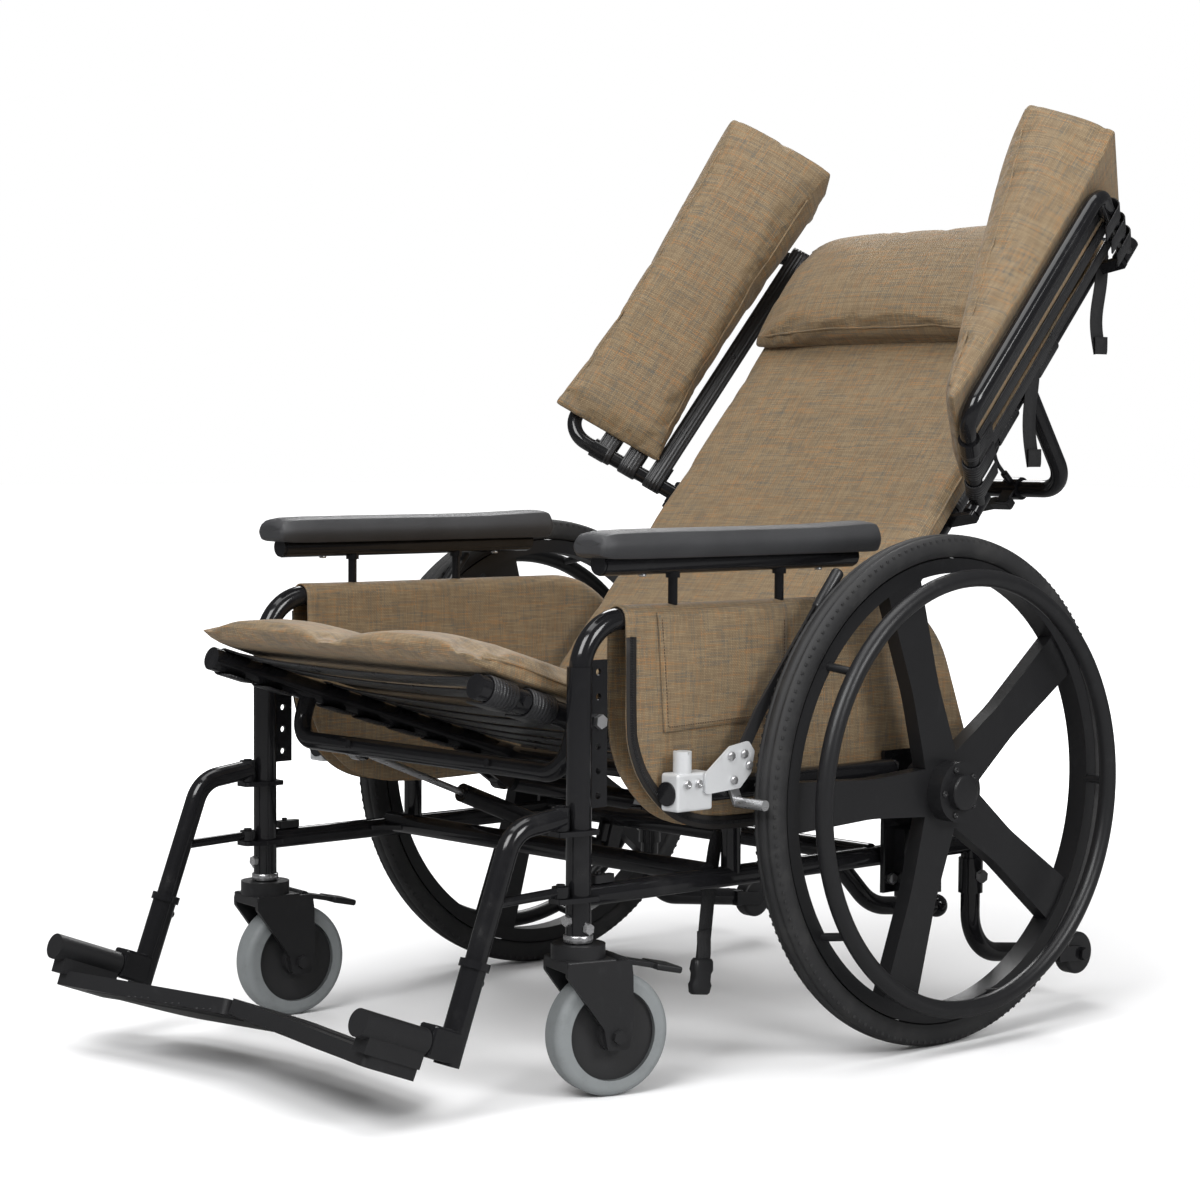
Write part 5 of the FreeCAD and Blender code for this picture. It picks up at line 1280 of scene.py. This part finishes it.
def make_belt(context):
    """Belt half by the left upright: webbing with its stitched loop and a side-release buckle."""
    path = [post(BELT_X + x, y, z) for x, y, z in BELT_LINE]
    parts = [band_mesh("belt", smooth_path(path, 6), BELT_W, BELT_T, finish("webbing"), normal=X_AXIS)]
    loop = [path[3] + Vector(step) for step in BELT_LOOP]
    parts.append(band_mesh("loop", smooth_path(loop, 3), LOOP_W, BELT_T, finish("webbing"), normal=X_AXIS))
    down = (path[3] - path[2]).normalized()
    wide = down.cross(X_AXIS).normalized()
    rings = []
    for drop, half, thick in BUCKLE_STAGES:
        centre = path[3] + down * drop
        ring = []
        for i in range(BUCKLE_SIDES):
            turn = math.tau * i / BUCKLE_SIDES
            a = math.copysign(abs(math.cos(turn)) ** 0.4, math.cos(turn)) * half
            b = math.copysign(abs(math.sin(turn)) ** 0.5, math.sin(turn)) * thick
            ring.append(centre + wide * a + X_AXIS * b)
        rings.append(ring)
    points, faces = skin(rings)
    buckle = tidy_normals(piece_from("belt_buckle", points, faces, finish("plastic")))
    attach(buckle, "base")
    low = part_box("seat_belt")[1].z
    spot = post(BELT_X - 0.0012, BELT_LINE[0][1], low - ANCHOR_DROP)
    anchor = screw_head("belt_anchor", spot, -X_AXIS, *ANCHOR, finish("dark_steel"))
    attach(anchor, "base")
    made = joined("belt_webbing", parts)
    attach(made, "base")
    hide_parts("seat_belt")


# Side panels

TOP_Z = 0.480
PANEL_FRONT = 0.050
TOP_TURN = Vector((0, 0.4286, 0.360))
TOP_RADIUS = 0.120
SLOPE = math.radians(68.3)
PANEL_END = Vector((0, 0.5964, 0.263))
PANEL_EDGE = ((0.051, 0.379), (0.054, 0.352), (0.066, 0.322), (0.086, 0.297), (0.112, 0.276), (0.146, 0.263),
              (0.190, 0.257), (0.262, 0.256), (0.340, 0.258), (0.420, 0.260), (0.510, 0.262), (0.5964, 0.263))
FLAP = ((0.092, 0.486), (0.280, 0.490), (0.278, 0.369), (0.101, 0.363))
FLAP_T = 0.0024
RIPPLE = 0.0016
FLARE = 0.0012
PANEL_COLUMNS = 64
PANEL_ROWS = 16
ZIP_TOP = 0.462
ZIP_IN = 0.006
ZIP_TAPE_T = 0.0012
TOOTH = (0.0011, 0.0042, 0.0015)
TOOTH_STEP = 0.0026


def top_line():
    """Middle of the top tube from the panel's front to its lower rear end, as (y, z) points."""
    line = [Vector((0, PANEL_FRONT + (TOP_TURN.y - PANEL_FRONT) * i / 12, TOP_Z)) for i in range(12)]
    line += arc(TOP_TURN, Y_AXIS * TOP_RADIUS, Z_AXIS * TOP_RADIUS, math.pi / 2, math.pi / 2 - SLOPE, 10)
    start = line[-1]
    line += [start.lerp(PANEL_END, i / 6) for i in range(1, 7)]
    return line


def along_line(line, share):
    """Point at a share of a line's length."""
    lengths = [(b - a).length for a, b in zip(line, line[1:])]
    left = share * sum(lengths)
    for a, b, length in zip(line, line[1:], lengths):
        if left <= length:
            return a.lerp(b, left / length)
        left -= length
    return line[-1].copy()


def make_side_panels(context):
    """Cloth panels folded over the top tubes, with a zip band, a pocket flap and stitched hems."""
    size = context.scene.chair_panel
    top = top_line()
    edge = smooth_path([Vector((0, y, z)) for y, z in PANEL_EDGE], 4)
    for side, word in SIDES.items():
        rings = []
        for i in range(PANEL_COLUMNS + 1):
            share = i / PANEL_COLUMNS
            upper = along_line(top, share)
            lower = along_line(edge, share)
            rise = upper - lower
            up = rise.normalized() if rise.length > 0.004 else Z_AXIS
            ring = []
            for j in range(PANEL_ROWS):
                down = j / PANEL_ROWS
                wave = math.sin(share * 23 + down * 3) * math.sin(math.pi * down) * math.sin(math.pi * share)
                flare = max(RIPPLE * wave, 0) + FLARE * math.sin(math.pi * down)
                ring.append(lower + rise * down + X_AXIS * (size.half + flare))
            ring += [upper + X_AXIS * (size.half * math.cos(turn)) + up * (size.half * math.sin(turn))
                     for turn in [math.pi * k / 12 for k in range(13)]]
            for j in range(PANEL_ROWS):
                down = 1 - (j + 1) / PANEL_ROWS
                ring.append(lower + rise * down - X_AXIS * (size.half + 0.0008 * math.sin(math.pi * down)))
            rings.append([post(side * (POST_X + point.x), point.y, point.z) for point in ring])
        points, faces = skin(rings, closed=False, capped=False)
        if side < 0:
            faces = [tuple(reversed(face)) for face in faces]
        made = piece_from("side_panel_cloth_" + word, points, faces, finish("cloth"))
        wall = made.modifiers.new("Wall", "SOLIDIFY")
        wall.thickness = size.cloth
        wall.offset = 0.0
        settle(made)
        lay_weave(made, Matrix.Identity(4))
        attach(made, "base")
        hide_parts("side_panel_" + word)
        out = side * (POST_X + size.half + 0.0022)
        outward = X_AXIS * side
        zip_line = [Vector((0, PANEL_FRONT + ZIP_IN, ZIP_TOP))]
        zip_line += [Vector((0, y + ZIP_IN, z + 0.0010 * i)) for i, (y, z) in enumerate(PANEL_EDGE[:9])]
        path = smooth_path([post(out, point.y, point.z) for point in zip_line], 5)
        tape = band_mesh("panel_zip_tape_" + word, path, size.hem, ZIP_TAPE_T, finish("binding"),
                         normal=outward)
        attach(tape, "base")
        raised = [point + outward * 0.0006 for point in path]
        teeth = in_a_row("panel_zip_teeth_" + word, raised, TOOTH_STEP, bar(*TOOTH), outward,
                         finish("plastic"))
        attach(teeth, "base")
        hem = [post(out, point.y, point.z + 0.004) + outward * 0.0004 for point in edge[34:]]
        rows_made = seam("panel_hem_stitches_" + word, hem, size.stitch)
        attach(rows_made, "base")
        make_flap(side, word, out, outward, size)


def make_flap(side, word, out, outward, size):
    """Pocket and its plain flap, with stitches inside its edges."""
    corner = [Vector((0, y, z)) for y, z in FLAP]
    steps = 22
    rings = []
    for i in range(steps + 1):
        u = i / steps
        ring = []
        for j in range(steps + 1):
            v = j / steps
            point = corner[0].lerp(corner[1], u).lerp(corner[3].lerp(corner[2], u), v)
            belly = 0.0034 * math.sin(math.pi * min(v * 1.1, 1)) * math.sin(math.pi * u) ** 0.5 + 0.0012 * v
            over = max(point.z - TOP_Z, 0) / size.half
            tuck = size.half * (1 - math.sqrt(max(0, 1 - over * over))) if over < 1 else size.half
            ring.append(Vector((abs(out) + 0.0014 + belly - tuck, point.y, point.z)))
        rings.append([post(side * point.x, point.y, point.z) for point in ring])
    points, faces = skin(rings, closed=False, capped=False)
    if side > 0:
        faces = [tuple(reversed(face)) for face in faces]
    made = piece_from("pocket_flap_" + word, points, faces, finish("cloth"))
    wall = made.modifiers.new("Wall", "SOLIDIFY")
    wall.thickness = FLAP_T
    wall.offset = 1.0
    settle(made)
    lay_weave(made, Matrix.Identity(4))
    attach(made, "base")
    inset = [corner[0] + Vector((0, 0.005, -0.008)), corner[3] + Vector((0, 0.005, 0.005)),
             corner[2] + Vector((0, -0.005, 0.005)), corner[1] + Vector((0, -0.005, -0.012))]
    tree = BVHTree.FromObject(made, bpy.context.evaluated_depsgraph_get())
    path = []
    for a, b in zip(inset, inset[1:]):
        for i in range(14):
            spot = a.lerp(b, i / 14)
            far = post(side * (abs(out) + 0.05), spot.y, spot.z)
            hit = tree.ray_cast(far, -outward)[0]
            path.append((hit if hit is not None else far - outward * 0.046) + outward * 0.0002)
    rows = seam("pocket_stitches_" + word, path, size.stitch)
    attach(rows, "base")


# Wheels

# Share of the half width, with the rise over the bead and then the drop under the tread
TYRE_WALL = ((0.62, 0.0005), (0.9, 0.003), (1.0, 0.009))
TYRE_CROWN = ((0.97, 0.0085), (0.86, 0.0042), (0.66, 0.0016), (0.48, 0.0008), (0.44, 0.0026), (0.36, 0.0026),
              (0.32, 0.0004), (0.0, 0.0001))
TYRE_STEPS = 144
TREAD_STEPS = 360
TREAD_BLOCK = (0.0009, 0.0040, 0.0036)
TREAD_DROP = 0.0060
SHOULDER = 0.90


def make_tyres(context):
    """Rear tyres with shoulder grooves and small tread blocks."""
    size = context.scene.chair_wheel
    half = size.half
    profile = [(-half * share, size.bead + rise) for share, rise in TYRE_WALL]
    profile += [(-half * share, size.radius - drop) for share, drop in TYRE_CROWN]
    profile += [(-x, r) for x, r in reversed(profile[:-1])]
    for word in SIDES.values():
        centre = Vector(JOINTS["rear_roll_" + word]["pos_m"])
        rings = []
        for i in range(TYRE_STEPS):
            turn = math.tau * i / TYRE_STEPS
            way = Y_AXIS * math.cos(turn) + Z_AXIS * math.sin(turn)
            rings.append([centre + X_AXIS * x + way * r for x, r in profile])
        count = len(profile)
        points, faces = skin(rings, closed=True, capped=False)
        for j in range(count):
            k = (j + 1) % count
            last = (TYRE_STEPS - 1) * count
            faces.append((last + j, last + k, k, j))
        made = tidy_normals(piece_from("tyre_cover_" + word, points, faces, finish("tyre")))
        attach(made, "rear_wheel_" + word)
        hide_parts("rear_tyre_" + word)
        blocks = []
        for offset, label in ((-SHOULDER, "in"), (SHOULDER, "out")):
            radius = size.radius - TREAD_DROP
            middle = centre + X_AXIS * (half * offset)
            circle = arc(middle, Y_AXIS * radius, Z_AXIS * radius, 0, math.tau, TREAD_STEPS)
            pitch = math.tau * radius / size.blocks
            name = "tread_%s_%s" % (label, word)
            blocks.append(in_a_row(name, circle, pitch, bar(*TREAD_BLOCK), X_AXIS * offset, finish("tyre")))
        tread = joined("tyre_tread_" + word, blocks)
        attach(tread, "rear_wheel_" + word)


# Small parts

# Clamp and plate screws of a wheel lock: distance from the middle plane, depth, height, and a socket or none
CLAMP_FACE = 0.314
PLATE_FACE = 0.3172
LOCK_SCREWS = ((CLAMP_FACE, 0.1067, 0.3116, True), (CLAMP_FACE, 0.1227, 0.3116, True),
               (PLATE_FACE, 0.166, 0.337, False), (PLATE_FACE, 0.192, 0.326, False),
               (PLATE_FACE, 0.185, 0.338, False), (PLATE_FACE, 0.170, 0.312, False))
LOCK_SCREW = (0.0046, 0.0022)
HUB_CAP = (0.0200, 0.0035)
HUB_CAP_OUT = 0.034
HUB_BOLTS = 5
HUB_BOLT = (0.0036, 0.0022)
HUB_BOLT_CIRCLE = 0.026
HUB_BOLT_OUT = 0.028
# Radius and height of the bright ring at the foot of a front post
STEM_RING = ((0.0142, 0.1572), (0.0150, 0.1580), (0.0150, 0.1642), (0.0142, 0.1650), (0.0131, 0.1650),
             (0.0131, 0.1572))
STEM_SIDES = 32


def make_small_parts(context):
    """Screws and rivets of the wheel locks, hub caps and bolts, and stem rings."""
    for side, word in SIDES.items():
        outward = X_AXIS * side
        for index, (face, y, z, socket) in enumerate(LOCK_SCREWS):
            name = "lock_screw_%s_%d" % (word, index)
            head = screw_head(name, post(side * face, y, z), outward, *LOCK_SCREW, finish("steel"), socket)
            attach(head, "base")
        centre = Vector(JOINTS["rear_roll_" + word]["pos_m"])
        spot = centre + outward * HUB_CAP_OUT
        cap = screw_head("hub_cap_" + word, spot, outward, *HUB_CAP, finish("wheel"), False)
        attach(cap, "rear_wheel_" + word)
        for i in range(HUB_BOLTS):
            turn = math.pi + math.tau * i / HUB_BOLTS
            way = Y_AXIS * math.cos(turn) + Z_AXIS * math.sin(turn)
            spot = centre + way * HUB_BOLT_CIRCLE + outward * HUB_BOLT_OUT
            head = screw_head("hub_bolt_%s_%d" % (word, i), spot, outward, *HUB_BOLT, finish("dark_steel"))
            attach(head, "rear_wheel_" + word)
        stem = Vector(JOINTS["caster_swivel_" + word]["pos_m"])
        ring = []
        for radius, height in STEM_RING:
            ring.append([Vector((stem.x + radius * math.cos(a), stem.y + radius * math.sin(a), height))
                         for a in [math.tau * j / STEM_SIDES for j in range(STEM_SIDES)]])
        points, faces = skin(ring + [ring[0]], capped=False)
        made = tidy_normals(piece_from("stem_ring_" + word, points, faces, finish("steel")))
        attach(made, "base")


RIBS = 30
RIB_FROM = 0.036
RIB_SPAN = 0.060
RIB_STEPS = 24
RIB_R = 0.0009
RIB_OUT = 0.030
RIB_IN = 0.012
RIB_LIFT = 0.004
RIB_REACH = 0.08


def make_footplate_ribs(context):
    """Fine grip ribs across the footplates' tops."""
    for side, word in SIDES.items():
        node = NODES["footplate_" + word]
        tree = BVHTree.FromObject(node, context.evaluated_depsgraph_get())
        low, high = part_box("footplate_" + word)
        hinge = JOINTS["footplate_flip_" + word]
        way = Vector(hinge["axis"]) * -side
        pivot = Vector(hinge["pos_m"])
        bars = []
        inner = high.x - RIB_IN if side < 0 else low.x + RIB_IN
        outer = pivot.x - side * RIB_OUT
        for i in range(RIBS):
            start = pivot + way * (RIB_FROM + RIB_SPAN * i / (RIBS - 1))
            path = []
            for j in range(RIB_STEPS):
                x = outer + (inner - outer) * j / (RIB_STEPS - 1)
                spot = Vector((x, start.y, pivot.z + RIB_LIFT))
                hit = tree.ray_cast(spot, -Z_AXIS, RIB_REACH)[0]
                if hit is not None:
                    path.append(hit)
            if len(path) > 2:
                bars.append(cord_mesh("rib", path, RIB_R, finish("plastic"), 5))
        made = joined("footplate_ribs_" + word, bars)
        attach(made, "footplate_" + word)


COATS = {
    "enamel": ("side_frame_", "base_cross_tubes", "axle_brackets", "antitip_arms", "seat_frame", "back_frame",
               "push_handle", "wing_frame_", "arm_frame_", "hanger_left", "hanger_right", "extension_",
               "recline_cylinder", "tilt_cylinder"),
    "plastic": ("caster_fork_", "caster_pedal_", "control_cables", "footplate_", "antitip_wheel_",
                "tilt_release", "recline_release", "hanger_latch_"),
    "wheel": ("rear_wheel_",),
    "dark_steel": ("lock_handle_",),
    "cast": ("wheel_lock_housings",),
    "steel": ("frame_bolts", "lock_shoe_", "tilt_rod", "recline_rod"),
    "caster_left": ("caster_wheel_left",),
    "caster_right": ("caster_wheel_right",),
}


def coat_frame(context):
    """Materials of the frame's own parts."""
    for coat, starts in COATS.items():
        for name, node in NODES.items():
            if name.startswith(starts):
                node.data.materials.clear()
                node.data.materials.append(finish(coat))


# Stage

PHOTO_SIDE = 1200
FOCAL_PIXELS = 2877.5
SENSOR = 36.0
CAMERA_AT = (2.40165, -1.91107, 0.66272)
CAMERA_AZIMUTH = math.radians(47.75)
CAMERA_ELEVATION = math.radians(3.23)
CAMERA_ROLL = math.radians(0.32)
STUDIO_LIGHT = 0.46
STUDIO_MIRRORED = 0.10
STUDIO_SEEN = 1.0
FLOOR_REACH = 30.0
LAMP_AIM = (0, 0, 0.45)
# Name, place, width in metres and power in watts of each lamp
LAMPS = (
    ("key", (1.2, -3.2, 3.4), 2.2, 150.0),
    ("side", (4.2, 0.4, 2.6), 1.6, 95.0),
    ("rear", (-2.6, 2.6, 3.2), 2.0, 80.0),
    ("top", (0.0, -0.2, 4.2), 3.0, 90.0),
)


def make_stage(context):
    """Pale floor, soft lights and the camera of the photograph's view."""
    scene = context.scene
    corners = [Vector((x * FLOOR_REACH, y * FLOOR_REACH, 0)) for x, y in ((-1, -1), (1, -1), (1, 1), (-1, 1))]
    floor = piece_from("floor", corners, [(0, 1, 2, 3)], finish("floor"), smooth=False)
    world = bpy.data.worlds.new("studio")
    scene.world = world
    world.use_nodes = True
    tree = world.node_tree
    seen = tree.nodes.new("ShaderNodeLightPath")
    mirrored = tree.nodes.new("ShaderNodeMapRange")
    mirrored.inputs["To Min"].default_value = STUDIO_LIGHT
    mirrored.inputs["To Max"].default_value = STUDIO_MIRRORED
    tree.links.new(seen.outputs["Is Glossy Ray"], mirrored.inputs["Value"])
    level = tree.nodes.new("ShaderNodeMapRange")
    tree.links.new(mirrored.outputs["Result"], level.inputs["To Min"])
    level.inputs["To Max"].default_value = STUDIO_SEEN
    tree.links.new(seen.outputs["Is Camera Ray"], level.inputs["Value"])
    tree.nodes["Background"].inputs["Color"].default_value = (1.0, 1.0, 1.0, 1.0)
    tree.links.new(level.outputs["Result"], tree.nodes["Background"].inputs["Strength"])
    for name, place, size, power in LAMPS:
        lamp = bpy.data.lights.new(name, "AREA")
        lamp.size = size
        lamp.energy = power
        made = bpy.data.objects.new(name, lamp)
        made.location = place
        made.rotation_euler = (Vector(LAMP_AIM) - Vector(place)).to_track_quat("-Z", "Y").to_euler()
        scene.collection.objects.link(made)
    back = Vector((math.sin(CAMERA_AZIMUTH) * math.cos(CAMERA_ELEVATION),
                   -math.cos(CAMERA_AZIMUTH) * math.cos(CAMERA_ELEVATION), math.sin(CAMERA_ELEVATION)))
    right = Vector((math.cos(CAMERA_AZIMUTH), math.sin(CAMERA_AZIMUTH), 0))
    up = back.cross(right)
    turned = right * math.cos(CAMERA_ROLL) + up * math.sin(CAMERA_ROLL)
    data = bpy.data.cameras.new("camera")
    data.sensor_width = SENSOR
    data.lens = FOCAL_PIXELS / PHOTO_SIDE * SENSOR
    camera = bpy.data.objects.new("camera", data)
    basis = Matrix((turned, back.cross(turned), back)).transposed()
    camera.matrix_world = Matrix.Translation(post(*CAMERA_AT)) @ basis.to_4x4()
    scene.collection.objects.link(camera)
    scene.camera = camera
    scene.view_settings.view_transform = "Standard"


# Operators

STEPS = (
    ("coat_frame", "Coat the frame", coat_frame),
    ("seat_cushion", "Make the seat cushion", make_seat_cushion),
    ("back_cushion", "Make the back cushion", make_back_cushion),
    ("head_pillow", "Make the head pillow", make_head_pillow),
    ("wings", "Make the wing bolsters", make_wings),
    ("arm_pads", "Make the armrest pads", make_arm_pads),
    ("seat_straps", "Make the seat straps", make_seat_straps),
    ("back_straps", "Make the back straps", make_back_straps),
    ("wing_straps", "Make the wing straps", make_wing_straps),
    ("tails", "Make the strap tails", make_tails),
    ("belt", "Make the belt half", make_belt),
    ("side_panels", "Make the side panels", make_side_panels),
    ("tyres", "Make the tyres", make_tyres),
    ("small_parts", "Make the small parts", make_small_parts),
    ("footplate_ribs", "Make the footplate ribs", make_footplate_ribs),
    ("stage", "Make the stage", make_stage),
)


def operator_for(name, label, maker):
    """Operator class that makes one piece or group of pieces."""
    def execute(self, context):
        maker(context)
        return {"FINISHED"}

    fields = {"bl_idname": "chair." + name, "bl_label": label, "__doc__": maker.__doc__, "execute": execute}
    return type("CHAIR_OT_" + name, (bpy.types.Operator,), fields)


OPERATORS = [operator_for(*step) for step in STEPS]


class CHAIR_PT_panel(bpy.types.Panel):
    """Sidebar panel with one button for each step."""
    bl_label = "Wheelchair"
    bl_idname = "CHAIR_PT_panel"
    bl_space_type = "VIEW_3D"
    bl_region_type = "UI"
    bl_category = "Wheelchair"

    def draw(self, context):
        for operator in OPERATORS:
            self.layout.operator(operator.bl_idname)


def register():
    for group in GROUPS.values():
        bpy.utils.register_class(group)
    for name, group in GROUPS.items():
        setattr(bpy.types.Scene, name, PointerProperty(type=group))
    for operator in OPERATORS:
        bpy.utils.register_class(operator)
    bpy.utils.register_class(CHAIR_PT_panel)


def unregister():
    bpy.utils.unregister_class(CHAIR_PT_panel)
    for operator in reversed(OPERATORS):
        bpy.utils.unregister_class(operator)
    for name in GROUPS:
        delattr(bpy.types.Scene, name)
    for group in reversed(list(GROUPS.values())):
        bpy.utils.unregister_class(group)


def main():
    """Builds everything in order and writes the sizes of the frame and of the dressed chair."""
    register()
    for name, _, _ in STEPS:
        getattr(bpy.ops.chair, name)()


if __name__ == "__main__":
    main()
